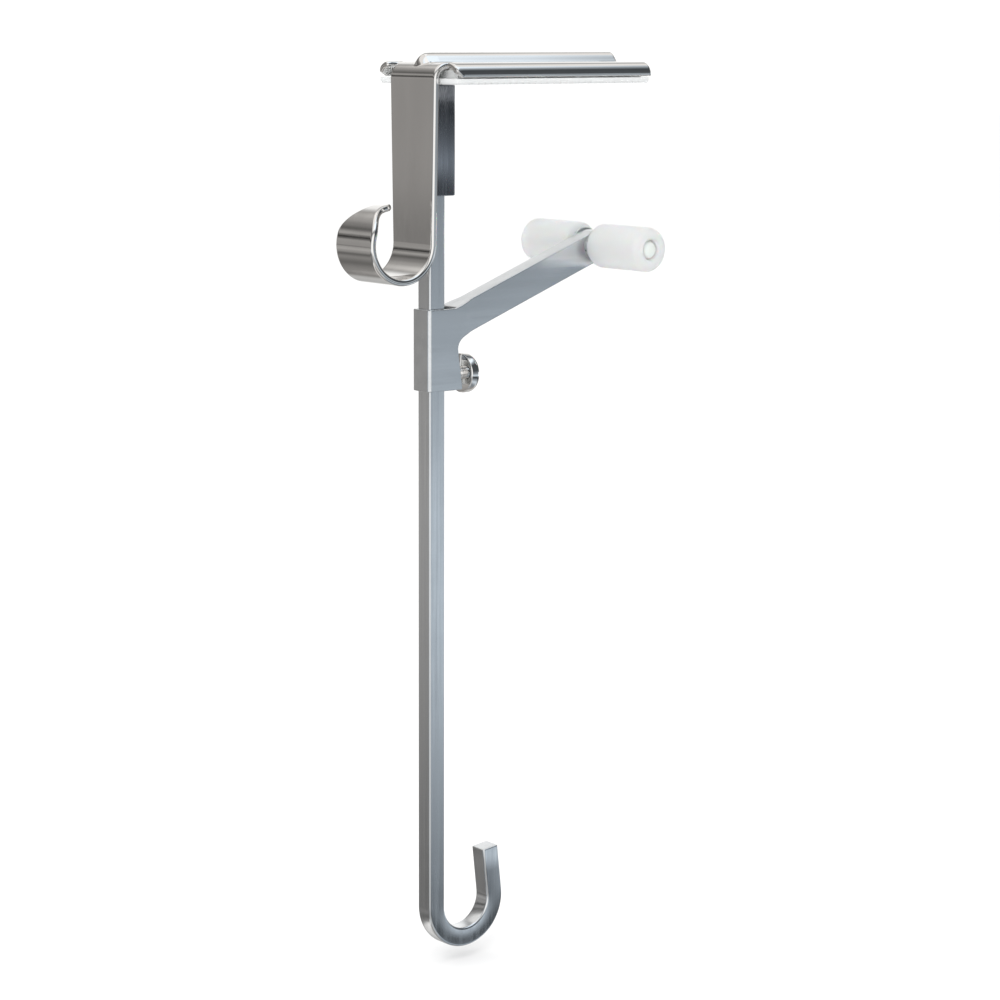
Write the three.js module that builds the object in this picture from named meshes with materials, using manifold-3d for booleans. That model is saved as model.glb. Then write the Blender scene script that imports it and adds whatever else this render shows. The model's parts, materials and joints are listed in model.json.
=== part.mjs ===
// Desk-edge headphone hook: a pressed steel bracket that lies on the desk top and curls into a
// headphone hook, a square hanger bar with a bag hook at its foot, and a sliding arm with two
// soft rollers that close on the underside of the desk. Millimetres, +Z up, +Y into the desk.
// Lengths along Y are counted from the axis of the hanger bar and heights from the desk top;
// the whole assembly is then shifted so that its origin is the middle of the desk pad.
import * as THREE from 'three';
import { mergeVertices } from 'three/addons/utils/BufferGeometryUtils.js';
import Module from 'manifold-3d';

const wasm = await Module();
wasm.setup();

// ---- clearances shared by mating pieces ----
const GAP = 0.3;                // fixed pieces that nearly touch
const SLIDE_CLEARANCE = 0.15;   // slider on bar, screw in its thread, roller bush on pin

// ---- bracket: desk plate, strap and curl, one sheet ----
const SHEET = 2;
const PLATE_WIDTH = 39;
const PLATE_REACH = 70.2;       // bar axis to the back edge of the plate
const TAB_REACH = 5.4;          // front tabs, ahead of the bar axis
const FLANGE_DEPTH = 4.4;
const FLANGE_RADIUS = 4.1;      // outside
const TAB_CORNER = 2.4;         // lower front corner of each flange
const FLANGE_CORNER = 1;        // lower back corner of each flange
const SHEET_EDGE = 0.8;         // upper front and back edges of the plate
const NOTCH_WIDTH = 3.5;        // relief either side of the strap
const NOTCH_RADIUS = 1.6;
const NOTCH_END_Y = -1;
const STRAP_LAP = 1.5;          // strap blank laid into the plate past the relief
const BEAD_WIDTH = 6;
const BEAD_HEIGHT = 2.8;
const BEAD_WALL = 1.3;
const BEAD_FRONT_Y = -4.7;
const BEND_RADIUS = 5;          // outside, plate to strap
const STRAP_WIDTH = 21.9;       // at the bend
const STRAP_DROP = 53.1;        // plate top to the centre of the curl
const CURL_RADIUS = 11.8;       // outside
const CURL_WIDTH = 18;
const CURL_SWEEP = 277;         // degrees of sheet wrapped round the curl
const TONGUE_SWEEP = 80;        // last degrees of the curl, over which the sheet narrows
const TONGUE_NOSE = 3.2;        // radius of the rounded end
const NOSE_LIMIT = 0.985;       // share of the nose at which the sheet ends square
const BEND_STEP = 7.5;          // degrees between rows of points in the bend
const CURL_STEP = 6;            // degrees between rows of points in the curl

// ---- desk pad ----
const PAD_DEPTH = 4.4;          // desk top to the underside of the plate
const ADHESIVE = 0.3;
const ADHESIVE_MARGIN = 1;      // film inside the edges of the pad
const PAD_EDGE = 0.8;

// ---- hanger bar and its socket ----
const BAR_SIZE = 6;
const BAR_CORNER = 0.75;
const HOOK_DEPTH = 267.6;       // desk top to the lowest point of the bag hook
const HOOK_INNER_RADIUS = 8.45;
const HOOK_LEG = 14.5;
const HOOK_LEAN = 6.5;          // degrees that the leg closes towards the bar
const HOOK_STEPS = 24;
const SOCKET_WALL = 1.95;
const SOCKET_LENGTH = 32.6;
const SOCKET_CORNER = 1;
const SOCKET_BORE_CORNER = 0.5;
const WELD_LEG = 1.6;
const WELD_MARGIN = 1.5;
const END_WELD = 1.2;
const END_WELD_CORNER = 1;

// ---- slider with its arm, one folded sheet ----
const REST_DESK_GAP = 43.6;     // pad to roller top as stored
const SLIDER_WALL = 1.1;
const SLIDER_HEIGHT = 24.7;
const SLIDER_CORNER = 1.5;
const CHEEK_MARGIN = 0.85;      // threaded block to the rear edge of the cheeks at the bottom
const CHEEK_SLANT = 8;          // degrees
const CHEEK_CORNER = 0.6;
const ARM_WIDTH = 6;
const ARM_DEPTH = 9.3;
const ARM_SLOPE = 20.5;         // degrees
const ARM_SETBACK = 0.95;       // socket to where the arm's upper edge leaves the slider
const WEB_SETBACK = 4;          // bar to the start of the arm's web
const ARM_FILLET = 4;
const NECK_MARGIN = 0.1;        // threaded block to where the cheeks draw in to arm width
const NECK_LENGTH = 6.5;
const NECK_STEPS = 8;

// ---- clamp screw ----
const SCREW_DIAMETER = 4;
const SCREW_HEIGHT = 4.5;       // axis above the bottom of the slider
const HEAD_DIAMETER = 12;
const HEAD_THICKNESS = 3.7;
const HEAD_STANDOFF = 3;        // threaded block to head
const SLOT_WIDTH = 1.4;
const SLOT_DEPTH = 1.2;
const HEAD_EDGE = 0.5;          // rounding under the head
const HEAD_CROWN = 1.6;         // rounding of its outer face
const THREAD_LEAD = 0.3;        // rounding at the screw's end
const BLOCK_LENGTH = 4.6;
const BLOCK_WALL = 2;           // block above and below the thread
const TIP_LENGTH = 1.6;
const TIP_INSET = 0.2;          // tip below the screw's surface
const TIP_EDGE = 0.4;
const SPIGOT_DIAMETER = 1.6;
const SPIGOT_LENGTH = 1.5;

// ---- cross pin and rollers ----
const PIN_REACH = 63.3;         // bar axis to pin axis
const PIN_DIAMETER = 4;
const PIN_EDGE = 0.5;
const WASHER_WIDTH = 3.2;       // pin to the washer's edge
const WASHER_THICKNESS = 0.8;
const ROLLER_DIAMETER = 13.6;
const ROLLER_LENGTH = 23.9;
const ROLLER_EDGE = 2.4;
const BUSH_WALL = 0.7;
const CLIP_THICKNESS = 0.6;
const CLIP_RECESS = 1.2;        // clip below the outer face of the roller
const PIN_OVERHANG = 0.5;       // pin beyond its clip

// ---- shape helpers ----
const NEARLY = 0.98;            // rounding just short of meeting its neighbour
const LAP = 0.05;               // overlap of solids that are joined

// ---- places worked out from the sizes above ----
const rad = THREE.MathUtils.degToRad;
const PLATE_TOP = PAD_DEPTH + SHEET;
const FLANGE_FOOT = PLATE_TOP - FLANGE_DEPTH;
const SOCKET_BORE = BAR_SIZE + 2 * GAP;
const SOCKET_SIZE = SOCKET_BORE + 2 * SOCKET_WALL;
const STRAP_BACK_Y = -SOCKET_SIZE / 2;
const STRAP_MID_Y = STRAP_BACK_Y - SHEET / 2;
const BEND_CENTRE_Y = STRAP_BACK_Y - SHEET + BEND_RADIUS;
const CURL_MID_RADIUS = CURL_RADIUS - SHEET / 2;
const CURL_CENTRE_Y = STRAP_MID_Y - CURL_MID_RADIUS;
const CURL_CENTRE_Z = PLATE_TOP - STRAP_DROP;
const PAD_FRONT_Y = STRAP_BACK_Y + GAP;
const PAD_BACK_Y = PLATE_REACH - 2 * GAP;
const PAD_CENTRE_Y = (PAD_FRONT_Y + PAD_BACK_Y) / 2;
const SOCKET_TOP = -GAP;
const BAR_TOP = SOCKET_TOP - END_WELD - GAP;
const HOOK_MID_RADIUS = HOOK_INNER_RADIUS + BAR_SIZE / 2;
const HOOK_CENTRE_Z = -HOOK_DEPTH + HOOK_INNER_RADIUS + BAR_SIZE;
const SLIDER_BORE = BAR_SIZE + 2 * SLIDE_CLEARANCE;
const SLIDER_WIDTH = SLIDER_BORE + 2 * SLIDER_WALL;
const ARM_ROOT_Y = SOCKET_SIZE / 2 + ARM_SETBACK;
const ARM_WEB_START = BAR_SIZE / 2 + WEB_SETBACK;
const ARM_END_Y = PIN_REACH + 2 * ARM_DEPTH;
const PIN_Z = -REST_DESK_GAP - ROLLER_DIAMETER / 2;
const armTopAt = (y) => PIN_Z + (y - PIN_REACH) * Math.tan(rad(ARM_SLOPE))
  + ARM_DEPTH / 2 / Math.cos(rad(ARM_SLOPE));
const SLIDER_TOP = armTopAt(ARM_ROOT_Y);
const SLIDER_BOTTOM = SLIDER_TOP - SLIDER_HEIGHT;
const SCREW_Z = SLIDER_BOTTOM + SCREW_HEIGHT;
const BLOCK_FRONT_Y = BAR_SIZE / 2 + GAP;
const BLOCK_BACK_Y = BLOCK_FRONT_Y + BLOCK_LENGTH;
const BLOCK_HEIGHT = SCREW_DIAMETER + 2 * BLOCK_WALL;
const CHEEK_REACH = BLOCK_BACK_Y + CHEEK_MARGIN;
const NECK_START = BLOCK_BACK_Y + NECK_MARGIN;
const HEAD_FRONT_Y = BLOCK_BACK_Y + HEAD_STANDOFF;
const TIP_FRONT_Y = BAR_SIZE / 2 + GAP;
const SCREW_END_Y = TIP_FRONT_Y + TIP_LENGTH + GAP;
const WASHER_START = ARM_WIDTH / 2;
const WASHER_DIAMETER = PIN_DIAMETER + 2 * WASHER_WIDTH;
const ROLLER_START = WASHER_START + WASHER_THICKNESS + GAP;
const ROLLER_END = ROLLER_START + ROLLER_LENGTH;
const CLIP_OUTER = ROLLER_END - CLIP_RECESS;
const BUSH_END = CLIP_OUTER - CLIP_THICKNESS - GAP;
const BUSH_BORE = PIN_DIAMETER + 2 * SLIDE_CLEARANCE;
const BUSH_DIAMETER = BUSH_BORE + 2 * BUSH_WALL;
const ROLLER_BORE = BUSH_DIAMETER + GAP;

// ---- finishes ----
const finish = (colour, roughness, metalness) => () =>
  new THREE.MeshStandardMaterial({ color: colour, roughness, metalness });
const polishedChrome = finish(0xb9b7b3, 0.12, 1);
const satinSteel = finish(0x9aa2a8, 0.32, 1);
const zincSteel = finish(0xa9abab, 0.4, 1);
const weldMetal = finish(0x8d8b86, 0.5, 1);
const clearSilicone = finish(0xe9f1ee, 0.35, 0);
const tapeFilm = finish(0xf2f2ee, 0.6, 0);
const nylon = finish(0xf1efe6, 0.5, 0);

// ---- solids ----

/** Turns a closed geometry into a manifold solid. */
function solid(geometry) {
  const bare = geometry.clone();
  bare.deleteAttribute('normal');
  bare.deleteAttribute('uv');
  const merged = mergeVertices(bare, 1e-4);
  const index = merged.index.array;
  const triangles = [];
  for (let i = 0; i < index.length; i += 3) {
    const [a, b, c] = [index[i], index[i + 1], index[i + 2]];
    if (a !== b && b !== c && c !== a) triangles.push(a, b, c);
  }
  const vertProperties = Float32Array.from(merged.attributes.position.array);
  const triVerts = Uint32Array.from(triangles);
  return new wasm.Manifold(new wasm.Mesh({ numProp: 3, vertProperties, triVerts }));
}

/** Turns a manifold solid back into a geometry. */
function geometryOf(body) {
  const mesh = body.getMesh();
  const geometry = new THREE.BufferGeometry();
  geometry.setAttribute('position', new THREE.BufferAttribute(mesh.vertProperties, 3));
  geometry.setIndex(new THREE.BufferAttribute(mesh.triVerts, 1));
  geometry.computeVertexNormals();
  return geometry;
}

/** Closed outline from [a, b, radius] corners; a corner with a radius becomes an arc. */
function outline(corners, steps = 6) {
  const points = [];
  corners.forEach(([a, b, radius = 0], i) => {
    const corner = new THREE.Vector2(a, b);
    if (radius === 0) {
      points.push(corner);
      return;
    }
    const before = new THREE.Vector2(...corners.at(i - 1)).sub(corner).normalize();
    const after = new THREE.Vector2(...corners[(i + 1) % corners.length]).sub(corner).normalize();
    const half = Math.acos(before.dot(after)) / 2;
    const centre = before.clone().add(after).normalize()
      .multiplyScalar(radius / Math.sin(half)).add(corner);
    const reach = radius / Math.tan(half);
    const start = before.clone().multiplyScalar(reach).add(corner).sub(centre).angle();
    const end = after.clone().multiplyScalar(reach).add(corner).sub(centre).angle();
    const sweep = THREE.MathUtils.euclideanModulo(end - start + Math.PI, 2 * Math.PI) - Math.PI;
    for (let k = 0; k <= steps; k++) {
      const angle = start + sweep * k / steps;
      points.push(new THREE.Vector2(Math.cos(angle), Math.sin(angle)).multiplyScalar(radius).add(centre));
    }
  });
  return points;
}

/** Corners of a rectangle, each with the same radius. */
const rectangle = (a0, b0, a1, b1, radius = 0) =>
  [[a0, b0, radius], [a1, b0, radius], [a1, b1, radius], [a0, b1, radius]];

/** Outline drawn out to a length. */
const extruded = (points, depth) =>
  new THREE.ExtrudeGeometry(new THREE.Shape(points), { depth, bevelEnabled: false });

/** Corners of a square about the origin, each with the same radius. */
const square = (size, radius) => rectangle(-size / 2, -size / 2, size / 2, size / 2, radius);

/** Prism of a (y, z) outline between x0 and x1. */
function prismX(points, x0, x1) {
  const axes = new THREE.Matrix4().makeBasis(
    new THREE.Vector3(0, 1, 0), new THREE.Vector3(0, 0, 1), new THREE.Vector3(1, 0, 0));
  return solid(extruded(points, x1 - x0).applyMatrix4(axes).translate(x0, 0, 0));
}

/** Prism of an (x, z) outline between y0 and y1. */
function prismY(points, y0, y1) {
  return solid(extruded(points, y1 - y0).rotateX(Math.PI / 2).translate(0, y1, 0));
}

/** Prism of an (x, y) outline between z0 and z1. */
function prismZ(points, z0, z1) {
  return solid(extruded(points, z1 - z0).translate(0, 0, z0));
}

/** Turned solid about the Y axis from [radius, y] corners. */
function turnedY(corners, segments = 32) {
  return solid(new THREE.LatheGeometry(outline(corners), segments));
}

/** Turned solid about the X axis from [radius, x] corners, centred on the cross pin. */
function turnedOnPin(corners, segments = 32) {
  const geometry = new THREE.LatheGeometry(outline(corners), segments);
  return solid(geometry.rotateZ(-Math.PI / 2).translate(0, PIN_REACH, PIN_Z));
}

/** Ring round an axis, as corners for the turned solids. */
const ring = (bore, diameter, from, to, radius = 0) => [
  [bore / 2, from], [diameter / 2, from, radius], [diameter / 2, to, radius], [bore / 2, to],
  [bore / 2, from],
];

// ---- bracket ----

/** Folded cross-section of the plate with its two rounded flanges. */
function plateSection() {
  const half = PLATE_WIDTH / 2;
  const inner = FLANGE_RADIUS - SHEET;
  return outline([
    [-half, FLANGE_FOOT], [-half + SHEET, FLANGE_FOOT], [-half + SHEET, PAD_DEPTH, inner],
    [half - SHEET, PAD_DEPTH, inner], [half - SHEET, FLANGE_FOOT], [half, FLANGE_FOOT],
    [half, PLATE_TOP, FLANGE_RADIUS], [-half, PLATE_TOP, FLANGE_RADIUS],
  ], 8);
}

/** Plate with rounded flange ends and the relief that frees the strap. */
function plateBody() {
  const side = outline([
    [-TAB_REACH, FLANGE_FOOT, TAB_CORNER], [PLATE_REACH, FLANGE_FOOT, FLANGE_CORNER],
    [PLATE_REACH, PLATE_TOP, SHEET_EDGE], [-TAB_REACH, PLATE_TOP, SHEET_EDGE],
  ]);
  const notchHalf = STRAP_WIDTH / 2 + NOTCH_WIDTH;
  const relief = outline([
    [-notchHalf, -2 * TAB_REACH], [notchHalf, -2 * TAB_REACH],
    [notchHalf, NOTCH_END_Y, NOTCH_RADIUS], [-notchHalf, NOTCH_END_Y, NOTCH_RADIUS],
  ]);
  return prismY(plateSection(), -TAB_REACH, PLATE_REACH)
    .intersect(prismX(side, -PLATE_WIDTH, PLATE_WIDTH))
    .subtract(prismZ(relief, 0, PLATE_TOP + SHEET));
}

/** Half the strap's width where it has turned through a given angle of the curl. */
function tongueHalfWidth(turned) {
  const noseSweep = THREE.MathUtils.radToDeg(TONGUE_NOSE / CURL_MID_RADIUS);
  const noseStart = CURL_SWEEP - noseSweep;
  if (turned > noseStart) {
    const along = Math.min((turned - noseStart) / noseSweep, NOSE_LIMIT);
    return TONGUE_NOSE * Math.sqrt(1 - along * along);
  }
  const share = THREE.MathUtils.smoothstep(turned, CURL_SWEEP - TONGUE_SWEEP, noseStart);
  return THREE.MathUtils.lerp(CURL_WIDTH / 2, TONGUE_NOSE, share);
}

/** Stations down the middle of the strap: point, direction of the normal and half width. */
function strapStations() {
  const stations = [];
  const add = (y, z, angle, half) => stations.push({ y, z, angle, half });
  const midZ = PLATE_TOP - SHEET / 2;
  const bendMid = BEND_RADIUS - SHEET / 2;
  const bendCentreZ = PLATE_TOP - BEND_RADIUS;
  add(NOTCH_END_Y + STRAP_LAP, midZ, 90, STRAP_WIDTH / 2);
  for (let angle = 90; angle <= 180; angle += BEND_STEP) {
    const y = BEND_CENTRE_Y + bendMid * Math.cos(rad(angle));
    add(y, bendCentreZ + bendMid * Math.sin(rad(angle)), angle, STRAP_WIDTH / 2);
  }
  const fullSweep = CURL_SWEEP - TONGUE_SWEEP;
  const taperLength = bendCentreZ - CURL_CENTRE_Z + rad(fullSweep) * CURL_MID_RADIUS;
  const taper = (length) => THREE.MathUtils.lerp(STRAP_WIDTH, CURL_WIDTH, length / taperLength) / 2;
  const steps = Math.round(CURL_SWEEP / CURL_STEP);
  for (let k = 0; k <= steps; k++) {
    const turned = CURL_SWEEP * k / steps;
    const run = bendCentreZ - CURL_CENTRE_Z + rad(turned) * CURL_MID_RADIUS;
    const half = turned < fullSweep ? taper(run) : tongueHalfWidth(turned);
    const y = CURL_CENTRE_Y + CURL_MID_RADIUS * Math.cos(rad(turned));
    const z = CURL_CENTRE_Z - CURL_MID_RADIUS * Math.sin(rad(turned));
    add(y, z, 180 - turned, half);
  }
  return stations;
}

/** Strap and curl: a flat blank with one row of points for each station, laid along the bends. */
function strapBody() {
  const stations = strapStations();
  const last = stations.length - 1;
  const blank = new THREE.BoxGeometry(1, 1, 1, last, 2, 1);
  const points = blank.attributes.position;
  for (let i = 0; i < points.count; i++) {
    const { y, z, angle, half } = stations[Math.round((points.getX(i) + 0.5) * last)];
    const offset = points.getZ(i) * SHEET;
    points.setXYZ(i, points.getY(i) * 2 * half,
      y + Math.cos(rad(angle)) * offset, z + Math.sin(rad(angle)) * offset);
  }
  return solid(blank);
}

/** Rounded rib that runs along the middle of the plate; grow offsets its surface. */
function beadForm(grow, endY) {
  const radius = BEAD_WIDTH / 2 + grow;
  const start = BEAD_FRONT_Y + BEAD_WIDTH / 2;
  const geometry = new THREE.CapsuleGeometry(radius, endY - start + radius, 8, 24);
  geometry.translate(0, (endY + start + radius) / 2, 0);
  geometry.scale(1, 1, (BEAD_HEIGHT + grow) / radius).translate(0, 0, PLATE_TOP);
  return solid(geometry);
}

/** Bracket: plate, strap, curl and hollow bead joined as one sheet. */
function bracketBody() {
  const above = outline(rectangle(-BEAD_WIDTH, PAD_DEPTH, BEAD_WIDTH, PLATE_TOP + 2 * BEAD_HEIGHT));
  const bead = beadForm(0, PLATE_REACH).intersect(prismY(above, -PLATE_REACH, PLATE_REACH));
  const hollow = beadForm(-BEAD_WALL, PLATE_REACH + BEAD_WIDTH);
  return plateBody().add(strapBody()).add(bead).subtract(hollow);
}

// ---- desk pad ----

/** Soft pad: a wide slab under the flanges with a rib that fills the plate between them. */
function padBody() {
  const slabHalf = PLATE_WIDTH / 2 - GAP;
  const slabTop = FLANGE_FOOT - GAP;
  const ribHalf = PLATE_WIDTH / 2 - FLANGE_RADIUS - GAP;
  const slab = outline([
    [-slabHalf, 0, PAD_EDGE], [slabHalf, 0, PAD_EDGE], [slabHalf, slabTop], [-slabHalf, slabTop],
  ]);
  const rib = outline(rectangle(-ribHalf, PAD_EDGE, ribHalf, PAD_DEPTH - ADHESIVE));
  return prismY(slab, PAD_FRONT_Y, PAD_BACK_Y).add(prismY(rib, BEND_CENTRE_Y + GAP, PAD_BACK_Y));
}

/** Film of adhesive between the pad's rib and the plate. */
function adhesiveBody() {
  const half = PLATE_WIDTH / 2 - FLANGE_RADIUS - ADHESIVE_MARGIN;
  const film = outline(rectangle(-half, PAD_DEPTH - ADHESIVE, half, PAD_DEPTH));
  return prismY(film, BEND_CENTRE_Y + ADHESIVE_MARGIN, PAD_BACK_Y - ADHESIVE_MARGIN);
}

// ---- hanger bar and socket ----

/** Square tube welded to the back of the strap. */
function socketBody() {
  const outer = outline(square(SOCKET_SIZE, SOCKET_CORNER));
  const bore = outline(square(SOCKET_BORE, SOCKET_BORE_CORNER));
  const bottom = SOCKET_TOP - SOCKET_LENGTH;
  return prismZ(outer, bottom, SOCKET_TOP).subtract(prismZ(bore, bottom - GAP, SOCKET_TOP + GAP));
}

/** Fillet weld in the corner between the strap and one side of the socket. */
function socketWeld(side) {
  const corner = [side * SOCKET_SIZE / 2, STRAP_BACK_Y];
  const fillet = outline([
    corner, [corner[0] + side * WELD_LEG, corner[1]],
    [corner[0] + side * WELD_LEG, corner[1] + WELD_LEG, WELD_LEG * NEARLY],
    [corner[0], corner[1] + WELD_LEG],
  ]);
  return prismZ(fillet, SOCKET_TOP - SOCKET_LENGTH + WELD_MARGIN, SOCKET_TOP - WELD_MARGIN);
}

/** Weld that closes the top of the socket over the end of the bar. */
function endWeld() {
  const form = outline(square(SOCKET_BORE - 2 * GAP, END_WELD_CORNER));
  return prismZ(form, SOCKET_TOP - END_WELD, SOCKET_TOP);
}

/** Square section of the bar with its rounded corners. */
const barSection = () => outline(square(BAR_SIZE, BAR_CORNER), 4);

/** Bar: straight shank, half-round bag hook and the short leg that leans back to the shank. */
function barBody() {
  const shank = prismZ(barSection(), HOOK_CENTRE_Z - LAP, BAR_TOP);
  const bend = [];
  for (let k = 0; k <= HOOK_STEPS; k++) {
    const angle = rad(180 + (180 + HOOK_LEAN) * k / HOOK_STEPS);
    bend.push(new THREE.Vector3(0, HOOK_MID_RADIUS * (1 + Math.cos(angle)),
      HOOK_CENTRE_Z + HOOK_MID_RADIUS * Math.sin(angle)));
  }
  const extrudePath = new THREE.CatmullRomCurve3(bend);
  const hook = new THREE.ExtrudeGeometry(new THREE.Shape(barSection()),
    { steps: HOOK_STEPS, extrudePath, bevelEnabled: false });
  const leg = extruded(barSection(), HOOK_LEG + LAP);
  leg.translate(0, HOOK_MID_RADIUS, -LAP).rotateX(rad(HOOK_LEAN))
    .translate(0, HOOK_MID_RADIUS, HOOK_CENTRE_Z);
  return shank.add(solid(hook)).add(solid(leg));
}

// ---- slider with arm ----

/** Side view of the slider and arm, with the arm's end rounded about the cross pin. */
function sliderSide() {
  const slope = Math.tan(rad(ARM_SLOPE));
  const lowerAt = (y) => armTopAt(y) - ARM_DEPTH / Math.cos(rad(ARM_SLOPE));
  const front = -SLIDER_WIDTH / 2;
  const slant = Math.tan(rad(CHEEK_SLANT));
  const rootY = (CHEEK_REACH - slant * (lowerAt(0) - SLIDER_BOTTOM)) / (1 + slant * slope);
  const end = PIN_REACH + ARM_DEPTH / 2 * Math.cos(rad(ARM_SLOPE));
  const upperY = end - ARM_DEPTH / 2 * Math.sin(rad(ARM_SLOPE));
  const lowerY = end + ARM_DEPTH / 2 * Math.sin(rad(ARM_SLOPE));
  const round = ARM_DEPTH / 2 * NEARLY;
  return outline([
    [front, SLIDER_BOTTOM], [CHEEK_REACH, SLIDER_BOTTOM, CHEEK_CORNER],
    [rootY, lowerAt(rootY), ARM_FILLET], [lowerY, lowerAt(lowerY), round],
    [upperY, armTopAt(upperY), round], [ARM_ROOT_Y, SLIDER_TOP], [front, SLIDER_TOP],
  ], 8);
}

/** Top view of the slider and arm: full width round the bar, drawn in to the arm's width. */
function sliderPlan(wall) {
  const wide = SLIDER_WIDTH / 2 - wall;
  const narrow = ARM_WIDTH / 2 - wall;
  const front = -SLIDER_WIDTH / 2 + wall;
  const corner = SLIDER_CORNER - wall;
  const right = [];
  for (let k = 0; k <= NECK_STEPS; k++) {
    const share = THREE.MathUtils.smootherstep(k / NECK_STEPS, 0, 1);
    const y = NECK_START + NECK_LENGTH * k / NECK_STEPS;
    right.push([THREE.MathUtils.lerp(wide, narrow, share), y]);
  }
  right.push([narrow, ARM_END_Y]);
  const left = right.map(([x, y]) => [-x, y]).reverse();
  return outline([[-wide, front, corner], [wide, front, corner], ...right, ...left]);
}

/** Space inside the folded sheet: round the bar, and under the web of the arm. */
function sliderInside() {
  const webUnder = (y) => armTopAt(y) - SLIDER_WALL / Math.cos(rad(ARM_SLOPE));
  const front = -SLIDER_BORE / 2;
  const below = SLIDER_BOTTOM - GAP;
  const above = SLIDER_TOP + SLIDER_HEIGHT;
  return outline([
    [front, below], [ARM_END_Y, below], [ARM_END_Y, webUnder(ARM_END_Y)],
    [ARM_WEB_START, webUnder(ARM_WEB_START)], [ARM_WEB_START, above], [front, above],
  ]);
}

/** Slider and arm: outer form less the inside, with the hole for the cross pin. */
function sliderBody() {
  const high = armTopAt(ARM_END_Y);
  const outer = prismX(sliderSide(), -SLIDER_WIDTH, SLIDER_WIDTH)
    .intersect(prismZ(sliderPlan(0), SLIDER_BOTTOM - GAP, high));
  const inner = prismX(sliderInside(), -SLIDER_WIDTH, SLIDER_WIDTH)
    .intersect(prismZ(sliderPlan(SLIDER_WALL), SLIDER_BOTTOM - 2 * GAP, high + GAP));
  const radius = PIN_DIAMETER / 2 + GAP;
  const pinHole = new THREE.CylinderGeometry(radius, radius, 2 * ARM_WIDTH, 24);
  pinHole.rotateZ(Math.PI / 2).translate(0, PIN_REACH, PIN_Z);
  return outer.subtract(inner).subtract(solid(pinHole));
}

// ---- clamp screw ----

/** Threaded block held between the cheeks behind the bar. */
function blockBody() {
  const half = SLIDER_BORE / 2;
  const form = rectangle(-half, SCREW_Z - BLOCK_HEIGHT / 2, half, SCREW_Z + BLOCK_HEIGHT / 2);
  const block = prismY(outline(form), BLOCK_FRONT_Y, BLOCK_BACK_Y);
  const radius = SCREW_DIAMETER / 2 + SLIDE_CLEARANCE;
  const hole = new THREE.CylinderGeometry(radius, radius, 4 * BLOCK_LENGTH, 32);
  return block.subtract(solid(hole.translate(0, BLOCK_FRONT_Y, SCREW_Z)));
}

/** Screw with a large slotted head and a socket in its end for the pressure tip. */
function screwBody() {
  const shank = SCREW_DIAMETER / 2;
  const head = HEAD_DIAMETER / 2;
  const back = HEAD_FRONT_Y + HEAD_THICKNESS;
  const socket = SPIGOT_DIAMETER / 2 + GAP;
  const socketEnd = SCREW_END_Y + SPIGOT_LENGTH;
  const form = turnedY([
    [0, socketEnd], [socket, socketEnd], [socket, SCREW_END_Y], [shank, SCREW_END_Y, THREAD_LEAD],
    [shank, HEAD_FRONT_Y], [head, HEAD_FRONT_Y, HEAD_EDGE], [head, back, HEAD_CROWN], [0, back],
  ], 40);
  const slot = new THREE.BoxGeometry(2 * HEAD_DIAMETER, 2 * SLOT_DEPTH, SLOT_WIDTH);
  return form.subtract(solid(slot.translate(0, back, 0)));
}

/** Nylon tip that bears on the bar and keeps the screw from marking it. */
function tipBody() {
  const tip = SCREW_DIAMETER / 2 - TIP_INSET;
  const spigot = SPIGOT_DIAMETER / 2;
  const shoulder = TIP_FRONT_Y + TIP_LENGTH;
  return turnedY([
    [0, TIP_FRONT_Y], [tip, TIP_FRONT_Y, TIP_EDGE], [tip, shoulder], [spigot, shoulder],
    [spigot, shoulder + SPIGOT_LENGTH], [0, shoulder + SPIGOT_LENGTH],
  ], 24);
}

// ---- cross pin and rollers ----

/** Steel pin through the arm, with chamfer-like rounded ends. */
function pinBody() {
  const end = CLIP_OUTER + PIN_OVERHANG;
  const radius = PIN_DIAMETER / 2;
  return turnedOnPin([[0, -end], [radius, -end, PIN_EDGE], [radius, end, PIN_EDGE], [0, end]], 24);
}

/** Washer between the arm and a roller. */
const washerBody = () => turnedOnPin(
  ring(PIN_DIAMETER + 2 * GAP, WASHER_DIAMETER, WASHER_START, WASHER_START + WASHER_THICKNESS));

/** Plain bush that lets a soft roller turn on the pin. */
const bushBody = () => turnedOnPin(ring(BUSH_BORE, BUSH_DIAMETER, ROLLER_START, BUSH_END), 24);

/** Soft roller with rounded ends. */
const rollerBody = () =>
  turnedOnPin(ring(ROLLER_BORE, ROLLER_DIAMETER, ROLLER_START, ROLLER_END, ROLLER_EDGE), 40);

/** Push-on clip that keeps a roller on the pin. */
const clipBody = () => turnedOnPin(
  ring(PIN_DIAMETER + GAP, ROLLER_BORE - 2 * GAP, CLIP_OUTER - CLIP_THICKNESS, CLIP_OUTER), 24);

// ---- assembly ----

/** Adds one named piece to a group. */
function addPiece(parent, name, body, material) {
  const mesh = new THREE.Mesh(geometryOf(body), material());
  mesh.name = name;
  parent.add(mesh);
  return mesh;
}

/** Fixed part: what lies on the desk and hangs in front of it. */
function hangerGroup() {
  const hanger = new THREE.Group();
  addPiece(hanger, 'top_bracket', bracketBody(), polishedChrome);
  addPiece(hanger, 'desk_pad', padBody(), clearSilicone);
  addPiece(hanger, 'pad_adhesive', adhesiveBody(), tapeFilm);
  addPiece(hanger, 'bar_socket', socketBody(), satinSteel);
  addPiece(hanger, 'socket_weld_right', socketWeld(1), weldMetal);
  addPiece(hanger, 'socket_weld_left', socketWeld(-1), weldMetal);
  addPiece(hanger, 'bar_end_weld', endWeld(), weldMetal);
  addPiece(hanger, 'hanger_bar', barBody(), satinSteel);
  return hanger;
}

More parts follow.
